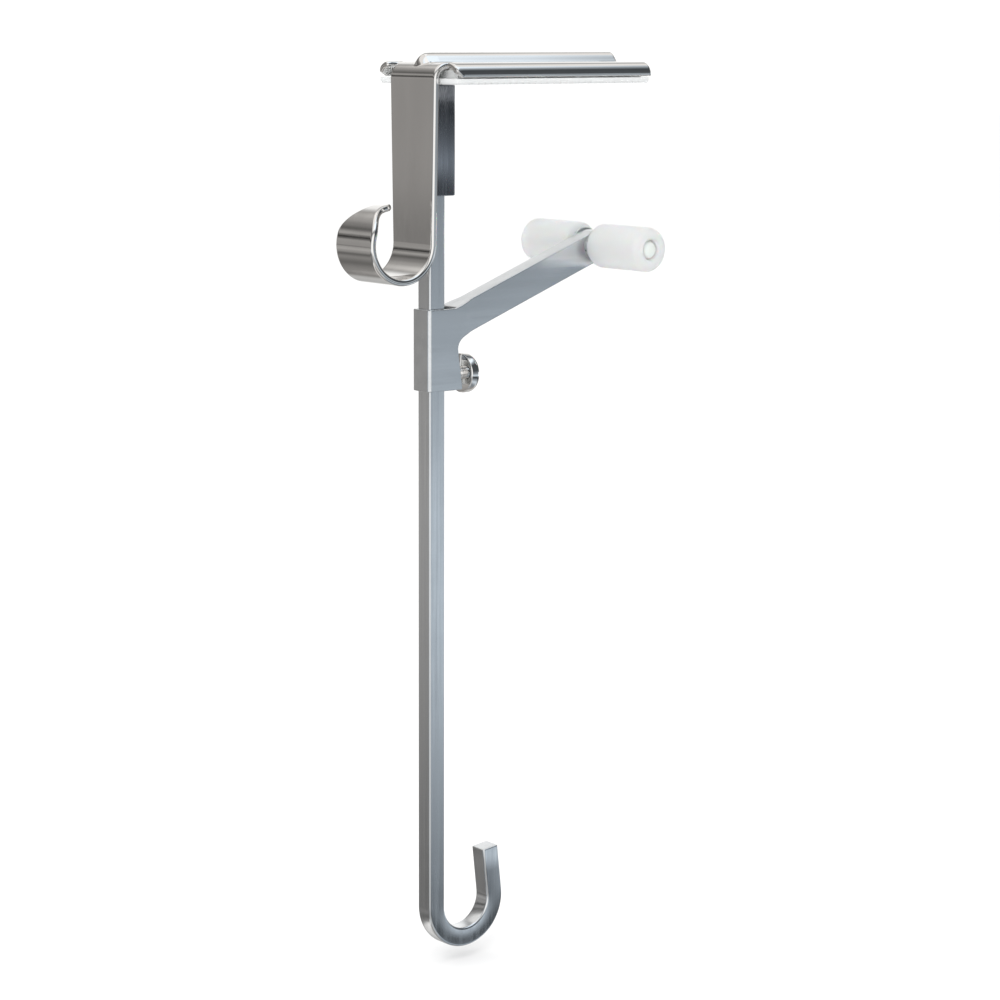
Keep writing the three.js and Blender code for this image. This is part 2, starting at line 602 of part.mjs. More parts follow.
/** Clamp screw and its tip, on their own axis. */
function screwGroup() {
  const screw = new THREE.Group();
  screw.position.z = SCREW_Z;
  addPiece(screw, 'clamp_screw', screwBody(), polishedChrome);
  addPiece(screw, 'pressure_tip', tipBody(), nylon);
  return screw;
}

/** Sliding part: slider with arm, clamp screw, cross pin and rollers. */
function sliderGroup() {
  const slider = new THREE.Group();
  addPiece(slider, 'slider_arm', sliderBody(), satinSteel);
  addPiece(slider, 'threaded_block', blockBody(), zincSteel);
  addPiece(slider, 'cross_pin', pinBody(), zincSteel);
  slider.add(screwGroup());
  for (const [side, turn] of [['right', 0], ['left', Math.PI]]) {
    const half = new THREE.Group();
    half.position.set(0, turn ? 2 * PIN_REACH : 0, 0);
    half.rotation.z = turn;
    addPiece(half, `pin_washer_${side}`, washerBody(), zincSteel);
    addPiece(half, `roller_bush_${side}`, bushBody(), nylon);
    addPiece(half, `roller_${side}`, rollerBody(), clearSilicone);
    addPiece(half, `pin_clip_${side}`, clipBody(), zincSteel);
    slider.add(half);
  }
  return slider;
}

const hook = new THREE.Group();
hook.position.y = -PAD_CENTRE_Y;
hook.add(hangerGroup(), sliderGroup());

export default hook;
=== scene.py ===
"""Desk-edge headphone hook: bracket with curl, hanger bar, slider with clamp screw and rollers."""
import json
import logging
import math
from dataclasses import dataclass, field
from enum import Enum
from typing import Iterable, Sequence

import bmesh
import bpy
from mathutils import Matrix, Vector

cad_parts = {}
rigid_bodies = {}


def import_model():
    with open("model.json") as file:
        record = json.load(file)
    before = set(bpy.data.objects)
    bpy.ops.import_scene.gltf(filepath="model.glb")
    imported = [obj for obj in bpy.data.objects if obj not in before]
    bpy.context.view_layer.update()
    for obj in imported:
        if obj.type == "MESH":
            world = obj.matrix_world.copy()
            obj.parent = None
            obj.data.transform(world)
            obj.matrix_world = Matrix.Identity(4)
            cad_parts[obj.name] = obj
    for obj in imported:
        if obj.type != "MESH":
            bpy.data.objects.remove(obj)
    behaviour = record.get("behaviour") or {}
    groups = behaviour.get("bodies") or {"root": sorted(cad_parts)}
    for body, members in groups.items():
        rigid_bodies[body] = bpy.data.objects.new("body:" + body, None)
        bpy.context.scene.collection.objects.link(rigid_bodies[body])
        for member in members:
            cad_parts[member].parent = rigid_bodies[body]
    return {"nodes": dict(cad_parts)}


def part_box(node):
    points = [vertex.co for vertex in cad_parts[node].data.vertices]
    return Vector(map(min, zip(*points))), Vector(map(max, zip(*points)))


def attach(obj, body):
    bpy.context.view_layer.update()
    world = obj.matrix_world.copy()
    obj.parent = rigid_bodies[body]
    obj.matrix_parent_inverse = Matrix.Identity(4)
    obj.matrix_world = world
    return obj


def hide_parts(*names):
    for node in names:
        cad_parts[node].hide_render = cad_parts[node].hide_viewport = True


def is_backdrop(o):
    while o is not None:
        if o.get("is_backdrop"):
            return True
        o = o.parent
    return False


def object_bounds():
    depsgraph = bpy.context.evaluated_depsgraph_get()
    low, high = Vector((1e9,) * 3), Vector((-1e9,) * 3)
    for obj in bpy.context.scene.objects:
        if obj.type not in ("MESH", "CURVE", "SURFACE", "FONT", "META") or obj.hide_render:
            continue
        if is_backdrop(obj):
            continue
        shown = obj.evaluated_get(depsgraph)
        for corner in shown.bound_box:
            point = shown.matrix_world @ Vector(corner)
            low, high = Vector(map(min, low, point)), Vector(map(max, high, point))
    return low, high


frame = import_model()

LOG = logging.getLogger("headphone_hook")
MM = 0.001
TOUCH = 1e-9  # metres within which two places are the same

Ring = list[Vector]
Profile = Sequence[tuple[float, float]]
Stops = tuple[tuple[float, float], ...]


class Body(Enum):
    """The moving bodies that pieces ride on."""

    HANGER = "hanger"
    SLIDER = "slider"
    TIP = "tip"
    SCREW = "screw"
    ROLLER_RIGHT = "roller_right"
    ROLLER_LEFT = "roller_left"


class Axis(Enum):
    """Axes that turned pieces are turned about."""

    X = 0
    Y = 1


# ---- shader nodes ----

def add_node(tree: bpy.types.NodeTree, kind: str, inputs: dict[str | int, object],
             **settings: object) -> bpy.types.Node:
    """Places a node and fills it in.

    Args:
        tree: node tree that it goes into.
        kind: type of the node, without its leading ShaderNode.
        inputs: each input's value, or the socket that feeds it.
        settings: other settings of the node, made first.

    Returns:
        The node.
    """
    node = tree.nodes.new(f"ShaderNode{kind}")
    for label, value in settings.items():
        setattr(node, label, value)
    for label, value in inputs.items():
        if isinstance(value, bpy.types.NodeSocket):
            tree.links.new(value, node.inputs[label])
        else:
            node.inputs[label].default_value = value
    return node


class ShaderGroups:
    """Node groups that several finishes share; each is built once."""

    GRAIN = "brushed grain"
    TONE = "tone drift"
    RUBBED = "rubbed patches"
    COARSE_SCALE = 0.22
    PATCH_SHARE = 0.45

    @classmethod
    def _start(cls, name: str, inputs: dict[str, tuple[str, float]],
               outputs: dict[str, str]) -> tuple[bpy.types.NodeTree, bpy.types.Node, bpy.types.Node]:
        """Makes an empty group with its sockets.

        Args:
            name: name of the group.
            inputs: socket name to (socket type, default value).
            outputs: socket name to socket type.

        Returns:
            The group, its input node and its output node.
        """
        tree = bpy.data.node_groups.new(name, "ShaderNodeTree")
        for label, (kind, value) in inputs.items():
            socket = tree.interface.new_socket(name=label, in_out="INPUT", socket_type=kind)
            if kind == "NodeSocketFloat":
                socket.default_value = value
        for label, kind in outputs.items():
            tree.interface.new_socket(name=label, in_out="OUTPUT", socket_type=kind)
        return tree, tree.nodes.new("NodeGroupInput"), tree.nodes.new("NodeGroupOutput")

    @classmethod
    def grain(cls) -> bpy.types.NodeTree:
        """Fine and coarse streaks; the vector that comes in sets their direction.

        Returns:
            The node group, with outputs Streak and Height.
        """
        if cls.GRAIN in bpy.data.node_groups:
            return bpy.data.node_groups[cls.GRAIN]
        tree, start, end = cls._start(
            cls.GRAIN,
            {"Vector": ("NodeSocketVector", 0), "Scale": ("NodeSocketFloat", 1.0),
             "Coarse Share": ("NodeSocketFloat", 0.4)},
            {"Streak": "NodeSocketFloat", "Height": "NodeSocketFloat"})
        vector, scale, share = (start.outputs[k] for k in ("Vector", "Scale", "Coarse Share"))
        lower = add_node(tree, "Math", {0: scale, 1: cls.COARSE_SCALE}, operation="MULTIPLY")
        fine = add_node(tree, "TexNoise", {"Vector": vector, "Scale": scale, "Detail": 4.0})
        coarse = add_node(tree, "TexNoise",
                          {"Vector": vector, "Scale": lower.outputs[0], "Detail": 2.0})
        height = add_node(tree, "Mix", {"Factor": share, "A": fine.outputs["Fac"],
                                        "B": coarse.outputs["Fac"]}).outputs["Result"]
        streak = add_node(tree, "MapRange", {"Value": height, "From Min": 0.32, "From Max": 0.68})
        tree.links.new(streak.outputs["Result"], end.inputs["Streak"])
        tree.links.new(height, end.inputs["Height"])
        return tree

    @classmethod
    def tone(cls) -> bpy.types.NodeTree:
        """Slow drift between two colours.

        Returns:
            The node group, with output Colour.
        """
        if cls.TONE in bpy.data.node_groups:
            return bpy.data.node_groups[cls.TONE]
        tree, start, end = cls._start(
            cls.TONE,
            {"Vector": ("NodeSocketVector", 0), "Scale": ("NodeSocketFloat", 60.0),
             "Light": ("NodeSocketColor", 0), "Shade": ("NodeSocketColor", 0)},
            {"Colour": "NodeSocketColor"})
        vector, scale, light, shade = (start.outputs[k]
                                       for k in ("Vector", "Scale", "Light", "Shade"))
        drift = add_node(tree, "TexNoise", {"Vector": vector, "Scale": scale, "Detail": 3.0})
        spread = add_node(tree, "MapRange",
                          {"Value": drift.outputs["Fac"], "From Min": 0.36, "From Max": 0.64})
        mix = add_node(tree, "Mix", {"Factor": spread.outputs["Result"], "A": light, "B": shade},
                       data_type="RGBA")
        tree.links.new(mix.outputs["Result"], end.inputs["Colour"])
        return tree

    @classmethod
    def rubbed(cls) -> bpy.types.NodeTree:
        """Small patches where handling has dulled or polished the surface.

        Returns:
            The node group, with output Roughness.
        """
        if cls.RUBBED in bpy.data.node_groups:
            return bpy.data.node_groups[cls.RUBBED]
        tree, start, end = cls._start(
            cls.RUBBED,
            {"Vector": ("NodeSocketVector", 0), "Streak": ("NodeSocketFloat", 0.5),
             "Patch Scale": ("NodeSocketFloat", 90.0), "Smooth": ("NodeSocketFloat", 0.1),
             "Rough": ("NodeSocketFloat", 0.3)},
            {"Roughness": "NodeSocketFloat"})
        vector, streak, scale, smooth, rough = (
            start.outputs[k] for k in ("Vector", "Streak", "Patch Scale", "Smooth", "Rough"))
        patch = add_node(tree, "TexNoise", {"Vector": vector, "Scale": scale, "Detail": 5.0})
        both = add_node(tree, "Mix", {"Factor": cls.PATCH_SHARE, "A": streak,
                                      "B": patch.outputs["Fac"]})
        spread = add_node(tree, "MapRange",
                          {"Value": both.outputs["Result"], "From Min": 0.25, "From Max": 0.75,
                           "To Min": smooth, "To Max": rough})
        tree.links.new(spread.outputs["Result"], end.inputs["Roughness"])
        return tree


# ---- finishes ----

@dataclass(frozen=True)
class Finish:
    """A procedural finish: two drifting colours, directional grain and rubbed patches."""

    title: str
    slot: str
    light: tuple[float, float, float]
    shade: tuple[float, float, float]
    smooth: float
    rough: float
    metallic: float = 1.0
    stretch: tuple[float, float, float] = (1.0, 1.0, 1.0)
    turn_x: float = 0.0
    grain_scale: float = 900.0
    coarse_share: float = 0.4
    tone_scale: float = 60.0
    patch_scale: float = 90.0
    bump: float = 0.05
    bump_depth: float = 0.05 * MM
    transmission: float = 0.0
    ior: float = 1.45
    subsurface: float = 0.0
    subsurface_reach: float = 4.0 * MM
    sheen: float = 0.0

    def material(self) -> bpy.types.Material:
        """Builds the material, or gives the one that was built before.

        Returns:
            The material.
        """
        if self.title in bpy.data.materials:
            return bpy.data.materials[self.title]
        made = bpy.data.materials.new(self.title)
        made.use_nodes = True
        tree = made.node_tree
        shader = tree.nodes["Principled BSDF"]
        self._set_plain_values(shader)
        place = add_node(tree, "TexCoord", {}).outputs["Object"]
        along = add_node(tree, "Mapping", {
            "Vector": place, "Scale": self.stretch,
            "Rotation": (self.turn_x, 0.0, 0.0)}).outputs["Vector"]
        grain = add_node(tree, "Group", {
            "Vector": along, "Scale": self.grain_scale,
            "Coarse Share": self.coarse_share}, node_tree=ShaderGroups.grain())
        tone = add_node(tree, "Group", {
            "Vector": along, "Scale": self.tone_scale, "Light": (*self.light, 1.0),
            "Shade": (*self.shade, 1.0)}, node_tree=ShaderGroups.tone())
        rubbed = add_node(tree, "Group", {
            "Vector": place, "Streak": grain.outputs["Streak"], "Patch Scale": self.patch_scale,
            "Smooth": self.smooth, "Rough": self.rough}, node_tree=ShaderGroups.rubbed())
        bump = add_node(tree, "Bump", {"Strength": self.bump, "Distance": self.bump_depth,
                                       "Height": grain.outputs["Height"]})
        for socket, label in ((tone.outputs["Colour"], "Base Color"),
                              (rubbed.outputs["Roughness"], "Roughness"),
                              (bump.outputs["Normal"], "Normal")):
            tree.links.new(socket, shader.inputs[label])
        return made

    def _set_plain_values(self, shader: bpy.types.Node) -> None:
        """Sets the numbers that are the same all over the surface.

        Args:
            shader: the Principled shader of the material.
        """
        values = {
            "Metallic": self.metallic, "Transmission Weight": self.transmission, "IOR": self.ior,
            "Subsurface Weight": self.subsurface, "Subsurface Scale": self.subsurface_reach,
            "Sheen Weight": self.sheen}
        for label, value in values.items():
            shader.inputs[label].default_value = value


CHROME = Finish("polished chrome plate", "polished_chrome", (0.86, 0.85, 0.84), (0.80, 0.79, 0.78),
                smooth=0.035, rough=0.10, stretch=(1.0, 0.25, 0.25), grain_scale=700.0, bump=0.03,
                bump_depth=0.02 * MM)
SATIN_UPRIGHT = Finish("satin steel, upright brush", "satin_steel", (0.77, 0.79, 0.81),
                       (0.71, 0.73, 0.755), smooth=0.13, rough=0.25, stretch=(1.0, 1.0, 0.02),
                       grain_scale=1500.0, tone_scale=320.0, bump=0.06, bump_depth=0.05 * MM)
SATIN_FOLDED = Finish("satin steel, brushed along the arm", "satin_steel", (0.77, 0.79, 0.81),
                      (0.72, 0.74, 0.76), smooth=0.15, rough=0.27, stretch=(1.0, 0.03, 1.0),
                      turn_x=-0.358, grain_scale=1300.0, tone_scale=260.0, bump=0.05,
                      bump_depth=0.05 * MM)
# Same satin steel as the bar, with a much darker base colour: painted shade for the socket's place
# under the plate and behind the strap.
SATIN_SOCKET_SHADED = Finish("satin steel, painted shade under the plate", "satin_steel", (0.33, 0.34, 0.365),
                      (0.26, 0.27, 0.295), smooth=0.18, rough=0.32, stretch=(1.0, 1.0, 0.03),
                      grain_scale=1300.0, tone_scale=300.0, bump=0.08, bump_depth=0.05 * MM)
BRIGHT_ZINC = Finish("bright zinc plate", "zinc_steel", (0.74, 0.75, 0.74), (0.58, 0.60, 0.61),
                     smooth=0.22, rough=0.44, grain_scale=1600.0, tone_scale=700.0, bump=0.10,
                     bump_depth=0.05 * MM)
WELD = Finish("weld metal, heat tinted", "weld_metal", (0.55, 0.53, 0.50), (0.34, 0.31, 0.33),
              smooth=0.28, rough=0.55, grain_scale=1400.0, tone_scale=500.0, bump=0.3,
              bump_depth=0.12 * MM)
SILICONE = Finish("frosted clear silicone", "clear_silicone", (0.965, 0.975, 0.98),
                  (0.945, 0.965, 0.97), smooth=0.34, rough=0.50, metallic=0.0, grain_scale=1200.0,
                  tone_scale=120.0, bump=0.12, bump_depth=0.08 * MM, transmission=0.45, ior=1.41,
                  subsurface=0.35, subsurface_reach=6.0 * MM, sheen=0.08)
PAD_SILICONE = Finish("frosted clear silicone, pad", "clear_silicone", (0.975, 0.985, 0.985),
                      (0.955, 0.975, 0.975), smooth=0.36, rough=0.52, metallic=0.0,
                      grain_scale=1200.0, tone_scale=120.0, bump=0.12, bump_depth=0.08 * MM,
                      transmission=0.3, ior=1.41)
FILM = Finish("adhesive film", "tape_film", (0.90, 0.90, 0.87), (0.82, 0.82, 0.78), smooth=0.45,
              rough=0.65, metallic=0.0, stretch=(1.0, 0.2, 1.0), grain_scale=2200.0, bump=0.25)
NYLON = Finish("natural nylon", "nylon", (0.80, 0.80, 0.77), (0.74, 0.73, 0.69), smooth=0.36,
               rough=0.52, metallic=0.0, grain_scale=1500.0, bump=0.15, subsurface=0.15,
               subsurface_reach=2.0 * MM)


# ---- mesh making ----

def rounded_outline(corners: Sequence[tuple[float, float, float]], steps: int = 6) -> Profile:
    """Closed outline whose corners become arcs.

    Args:
        corners: (a, b, radius) of each corner.
        steps: segments in each arc.

    Returns:
        The points of the outline.
    """
    points: list[tuple[float, float]] = []
    count = len(corners)
    for i, (a, b, radius) in enumerate(corners):
        here = Vector((a, b))
        if radius <= 0:
            points.append((a, b))
            continue
        back = (Vector(corners[i - 1][:2]) - here).normalized()
        ahead = (Vector(corners[(i + 1) % count][:2]) - here).normalized()
        half = math.acos(max(-1.0, min(1.0, back.dot(ahead)))) / 2
        centre = here + (back + ahead).normalized() * (radius / math.sin(half))
        reach = radius / math.tan(half)
        first, last = here + back * reach - centre, here + ahead * reach - centre
        start = math.atan2(first.y, first.x)
        sweep = (math.atan2(last.y, last.x) - start + math.pi) % (2 * math.pi) - math.pi
        for k in range(steps + 1):
            angle = start + sweep * k / steps
            points.append((centre.x + radius * math.cos(angle), centre.y + radius * math.sin(angle)))
    return points


def square_outline(size: float, radius: float, steps: int = 5) -> Profile:
    """Rounded square about the origin.

    Args:
        size: length of a side.
        radius: radius of the corners.
        steps: segments in each corner.

    Returns:
        The points of the outline.
    """
    half = size / 2
    return rounded_outline([(-half, -half, radius), (half, -half, radius), (half, half, radius),
                            (-half, half, radius)], steps)


def loft(rings: Sequence[Ring], closed: bool = False) -> bmesh.types.BMesh:
    """Skins rings of equal length, with a cap on each end unless the loft is closed.

    Args:
        rings: rings of points, in order along the form.
        closed: whether the last ring joins the first.

    Returns:
        The mesh, facing out.
    """
    made = bmesh.new()
    rows = [[made.verts.new(point) for point in ring] for ring in rings]
    count = len(rows[0])
    pairs = list(zip(rows, rows[1:])) + ([(rows[-1], rows[0])] if closed else [])
    for near, far in pairs:
        for k in range(count):
            made.faces.new((near[k], near[(k + 1) % count], far[(k + 1) % count], far[k]))
    if not closed:
        made.faces.new(list(reversed(rows[0])))
        made.faces.new(rows[-1])
    bmesh.ops.recalc_face_normals(made, faces=made.faces)
    return made


def turned(profile: Profile, axis: Axis, centre: Vector, segments: int = 64) -> bmesh.types.BMesh:
    """Turns a closed (radius, along) profile about an axis.

    Args:
        profile: closed outline that stays off the axis, or touches it only at its ends.
        axis: axis that the profile turns about.
        centre: a point on the axis that the along values are counted from.
        segments: steps round the axis.

    Returns:
        The mesh, facing out.
    """
    rings: list[Ring] = []
    for k in range(segments):
        angle = 2 * math.pi * k / segments
        cos, sin = math.cos(angle), math.sin(angle)
        ring = []
        for radius, along in profile:
            if axis is Axis.X:
                offset = Vector((along, radius * cos, radius * sin))
            else:
                offset = Vector((radius * cos, along, radius * sin))
            ring.append(centre + offset)
        rings.append(ring)
    made = loft(rings, closed=True)
    bmesh.ops.remove_doubles(made, verts=made.verts, dist=1e-7)
    bmesh.ops.dissolve_degenerate(made, edges=made.edges, dist=1e-8)
    bmesh.ops.recalc_face_normals(made, faces=made.faces)
    return made


def washer_profile(bore: float, outside: float, start: float, end: float, edge: float,
                   steps: int = 5) -> Profile:
    """Closed section of a ring with rounded outer edges and eased bore.

    Args:
        bore: radius of the hole.
        outside: outer radius.
        start: first face along the axis.
        end: second face along the axis.
        edge: radius of the outer edges.
        steps: segments in each arc.

    Returns:
        The points of the section.
    """
    ease = min(edge, (outside - bore) / 4, abs(end - start) / 4)
    return rounded_outline([(bore, start, ease), (outside, start, edge), (outside, end, edge),
                            (bore, end, ease)], steps)


def copy_of_node(node: str) -> bmesh.types.BMesh:
    """Copies a frame node's mesh with its coplanar triangles merged.

    Args:
        node: name of the node.

    Returns:
        The copied mesh.
    """
    made = bmesh.new()
    made.from_mesh(frame["nodes"][node].data)
    bmesh.ops.remove_doubles(made, verts=made.verts, dist=2e-6)
    bmesh.ops.dissolve_limit(made, angle_limit=math.radians(1.0), verts=made.verts,
                             edges=made.edges)
    return made


def as_object(name: str, shape: bmesh.types.BMesh) -> bpy.types.Object:
    """Turns a mesh that was built in memory into an object of the scene.

    Args:
        name: name of the object and of its mesh.
        shape: the mesh, which is freed.

    Returns:
        The object.
    """
    mesh = bpy.data.meshes.new(name)
    shape.to_mesh(mesh)
    shape.free()
    made = bpy.data.objects.new(name, mesh)
    bpy.context.collection.objects.link(made)
    return made


@dataclass
class Workshop:
    """Turns meshes into dressed pieces and reports them."""

    made: list[str] = field(default_factory=list)
    bevel_steps: int = 3

    def piece(self, name: str, shape: bmesh.types.BMesh, body: Body, finish: Finish,
              replaces: Iterable[str] = (), bevel: float = 0.0, bevel_angle: float = 40.0,
              sharp: float = 180.0, even: bool = False) -> bpy.types.Object:
        """Makes one named piece.

        Args:
            name: name of the piece.
            shape: its mesh, in metres in the row frame.
            body: body that it rides on.
            finish: its finish.
            replaces: frame nodes that it stands for.
            bevel: width of the rounding on its edges, in metres.
            bevel_angle: smallest angle of an edge that is rounded, in degrees.
            sharp: angle above which an edge stays crisp, in degrees.
            even: whether large faces set the shading of the small ones beside them.

        Returns:
            The piece.
        """
        made = as_object(name, shape)
        made.data.shade_smooth()
        if sharp < 180.0:
            made.data.set_sharp_from_angle(angle=math.radians(sharp))
        if bevel:
            edge = made.modifiers.new("edges", "BEVEL")
            edge.width = bevel
            edge.segments = self.bevel_steps
            edge.use_clamp_overlap = False
            edge.limit_method = "ANGLE"
            edge.angle_limit = math.radians(bevel_angle)
        if bevel or even:
            weighted = made.modifiers.new("normals", "WEIGHTED_NORMAL")
            weighted.keep_sharp = True
        made.data.materials.append(finish.material())
        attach(made, body.value)
        if replaces:
            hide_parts(*replaces)
        self.made.append(name)
        LOG.info("%s rides on %s in %s", name, body.value, finish.title)
        return made


# ---- places read from the frame ----

def middle(node: str) -> Vector:
    """Middle of a node's box."""
    low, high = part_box(node)
    return (low + high) / 2


# ---- bracket ----

@dataclass
class Bracket:
    """Desk plate, strap and curl, folded from one sheet with a pressed bead."""

    sheet: float = 2.0 * MM
    plate_half: float = 19.5 * MM
    plate_rows: tuple[float, ...] = (0, 1, 3, 8, 16, 26, 36, 46, 55, 62, 67, 69.5)
    bead_height: float = 2.8 * MM
    bead_half: float = 3.3 * MM
    bead_front: float = 4.7 * MM
    bead_nose: float = 3.0 * MM
    flange_radius: float = 3.1 * MM
    flange_depth: float = 4.4 * MM
    tab_reach: float = 5.4 * MM
    tab_corner: float = 2.4 * MM
    slot_inner: float = 10.95 * MM
    slot_outer: float = 14.45 * MM
    slot_end: float = 1.0 * MM
    slot_corner: float = 1.175 * MM
    bend_radius: float = 4.0 * MM
    bend_lead: float = 0.075 * MM
    last_row: float = 0.6 * MM
    curl_radius: float = 10.8 * MM
    curl_half: float = 9.0 * MM
    curl_sweep: float = 277.0
    tongue_sweep: float = 80.0
    tongue_nose: float = 3.2 * MM
    nose_limit: float = 0.93
    edge_column: float = 1.15 * MM
    edge_share: float = 0.6
    edge: float = 0.8 * MM
    rim_room: float = 0.7
    rim_steps: int = 8

    def __post_init__(self) -> None:
        """Reads the places that the frame gives."""
        low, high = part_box("top_bracket")
        self.back_y = high.y
        self.bar_y = middle("bar_socket").y
        self.mid_z = high.z - self.bead_height - self.sheet / 2
        self.strap_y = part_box("bar_socket")[0].y - self.sheet / 2
        self.curl_y = low.y + self.curl_radius + self.sheet / 2
        self.curl_z = low.z + self.curl_radius + self.sheet / 2
        self.flat_end = self.strap_y + self.bend_radius + self.bend_lead
        self.nose_y = self.bar_y - self.bead_front + self.bead_nose

    def bead(self, x: float, ahead: float) -> float:
        """Height of the pressed bead above the sheet.

        Args:
            x: distance from the middle of the plate.
            ahead: distance past the centre of the bead's rounded nose.

        Returns:
            The height.
        """
        away = math.hypot(x, max(ahead, 0.0)) / self.bead_half
        if away >= 1.0:
            return 0.0
        return self.bead_height * (0.5 * (1 + math.cos(math.pi * away))) ** 0.75

    def columns(self) -> list[float]:
        """Finds where the right half of the flat plate has points.

        Returns:
            Distances from the middle of the plate.
        """
        rib = [0.0, 0.4, 0.8, 1.2, 1.6, 2.0, 2.4, 2.8, 3.1, 3.4]
        flat = [5.0, 7.5, 9.8, 10.95, 11.15, 11.6, 12.1, 12.7, 13.3, 13.8, 14.25, 14.45, 15.4]
        return [value * MM for value in rib + flat]

    def section(self) -> list[tuple[float, float]]:
        """Draws the right half of the folded section, on the middle of the sheet.

        Returns:
            The points as (x, z).
        """
        points = [(x, self.mid_z) for x in self.columns()]
        centre_x = self.plate_half - self.sheet / 2 - self.flange_radius
        centre_z = self.mid_z - self.flange_radius
        for k in range(1, 10):
            angle = math.radians(90 - 8 * k)
            points.append((centre_x + self.flange_radius * math.cos(angle),
                           centre_z + self.flange_radius * math.sin(angle)))
        foot = self.mid_z + self.sheet / 2 - self.flange_depth
        points.append((centre_x + self.flange_radius, foot))
        return points

    def tongue_half(self, turned_by: float) -> float:
        """Half the width of the sheet near the free end of the curl.

        Args:
            turned_by: degrees turned from the start of the curl.

        Returns:
            Half the width.
        """
        nose = math.degrees(self.tongue_nose / self.curl_radius)
        nose_start = self.curl_sweep - nose
        if turned_by > nose_start:
            share = min((turned_by - nose_start) / nose, self.nose_limit)
            return self.tongue_nose * math.sqrt(1 - share * share)
        share = (turned_by - self.curl_sweep + self.tongue_sweep) / (self.tongue_sweep - nose)
        share = max(0.0, min(1.0, share))
        share = share * share * (3 - 2 * share)
        return self.curl_half + (self.tongue_nose - self.curl_half) * share

    def strap_stations(self) -> list[tuple[float, float, float, float, float]]:
        """Stations of the strap from the plate to the end of the curl.

        Returns:
            (y, z, direction of the normal, half width, distance past the bead's nose centre).
        """
        stations = []
        centre_y = self.strap_y + self.bend_radius
        centre_z = self.mid_z - self.bend_radius
        for angle in range(90, 181, 5):
            turn = math.radians(angle)
            run = self.nose_y - centre_y + self.bend_radius * math.radians(angle - 90)
            stations.append((centre_y + self.bend_radius * math.cos(turn),
                             centre_z + self.bend_radius * math.sin(turn), turn,
                             self.slot_inner, run))
        drop = centre_z - self.curl_z
        full = self.curl_sweep - self.tongue_sweep
        taper = drop + math.radians(full) * self.curl_radius
        for k in range(1, 16):
            run = drop * k / 16
            half = self.slot_inner + (self.curl_half - self.slot_inner) * run / taper
            stations.append((self.strap_y, centre_z - run, math.pi, half, 1.0))
        nose = math.degrees(self.tongue_nose / self.curl_radius)
        turns = [(full - 1.0) * k / 78 for k in range(79)]
        taper_end = self.curl_sweep - nose
        turns += [full + (taper_end - full) * k / 22 for k in range(23)]
        turns += [taper_end + nose * self.nose_limit * share for share in (0.3, 0.58, 0.8, 1.0)]
        for by in turns:
            run = drop + math.radians(by) * self.curl_radius
            half = self.slot_inner + (self.curl_half - self.slot_inner) * run / taper
            if by >= full:
                half = self.tongue_half(by)
            stations.append((self.curl_y + self.curl_radius * math.cos(math.radians(by)),
                             self.curl_z - self.curl_radius * math.sin(math.radians(by)),
                             math.pi - math.radians(by), half, 1.0))
        return stations

    def shape(self) -> bmesh.types.BMesh:
        """Builds the middle surface of the whole sheet.

        Returns:
            The open surface, its normals on the upper side of the plate.
        """
        made = bmesh.new()
        right = self.section()
        section = [(-x, z) for x, z in right[:0:-1]] + right
        lengths = [self.back_y - step * MM for step in self.plate_rows]
        lengths.append(self.bar_y + self.last_row)
        rows = [[made.verts.new((x, y, self._pressed(x, y, z))) for x, z in section]
                for y in lengths]
        rows.append([made.verts.new((x, self._plate_end(x), self._pressed(x, self.flat_end, z)))
                     for x, z in section])
        self._skin(made, rows)
        self._add_strap(made, section, rows[-1])
        for side in (-1, 1):
            self._add_tab(made, section, rows[-1], side)
        bmesh.ops.recalc_face_normals(made, faces=made.faces)
        return made

    def _pressed(self, x: float, y: float, z: float) -> float:
        """Gives the height of a point of the plate once the bead is pressed.

        Args:
            x: place across the plate.
            y: place along the plate.
            z: height of the plain folded section there.

        Returns:
            The height, which the bead changes on the flat only.
        """
        return z + self.bead(x, self.nose_y - y) if abs(z - self.mid_z) < TOUCH else z

    def _plate_end(self, x: float) -> float:
        """Finds where the plate's own rows stop: straight, but rounded in the two slots.

        Args:
            x: place across the plate.

        Returns:
            The y of the last row.
        """
        slot_mid = (self.slot_inner + self.slot_outer) / 2
        slot_half = (self.slot_outer - self.slot_inner) / 2
        reach = abs(abs(x) - slot_mid) / slot_half
        if reach >= 1:
            return self.flat_end
        rounding = self.slot_corner * (1 - math.sqrt(1 - reach * reach))
        return self.bar_y - self.slot_end - rounding

    def _add_strap(self, made: bmesh.types.BMesh, section: Profile,
                   front: Sequence[bmesh.types.BMVert]) -> None:
        """Adds the bend, the strap and the curl between the slots.

        Args:
            made: the sheet so far.
            section: (x, z) of each point of the plate's section.
            front: the plate's last row.
        """
        inner = [i for i, (x, _) in enumerate(section) if abs(x) <= self.slot_inner + TOUCH]
        strap = [[front[i] for i in inner]]
        for y, z, turn, half, ahead in self.strap_stations()[1:]:
            row = []
            inset = min(self.edge_column, self.edge_share * half)
            for i in inner:
                share = section[i][0] / (self.slot_inner - self.edge_column)
                x = share * (half - inset) if abs(share) < 1.001 else math.copysign(half, share)
                lift = self.bead(section[i][0], ahead) if ahead < self.bead_half else 0.0
                row.append(made.verts.new((x, y + math.cos(turn) * lift,
                                           z + math.sin(turn) * lift)))
            strap.append(row)
        self._skin(made, strap)

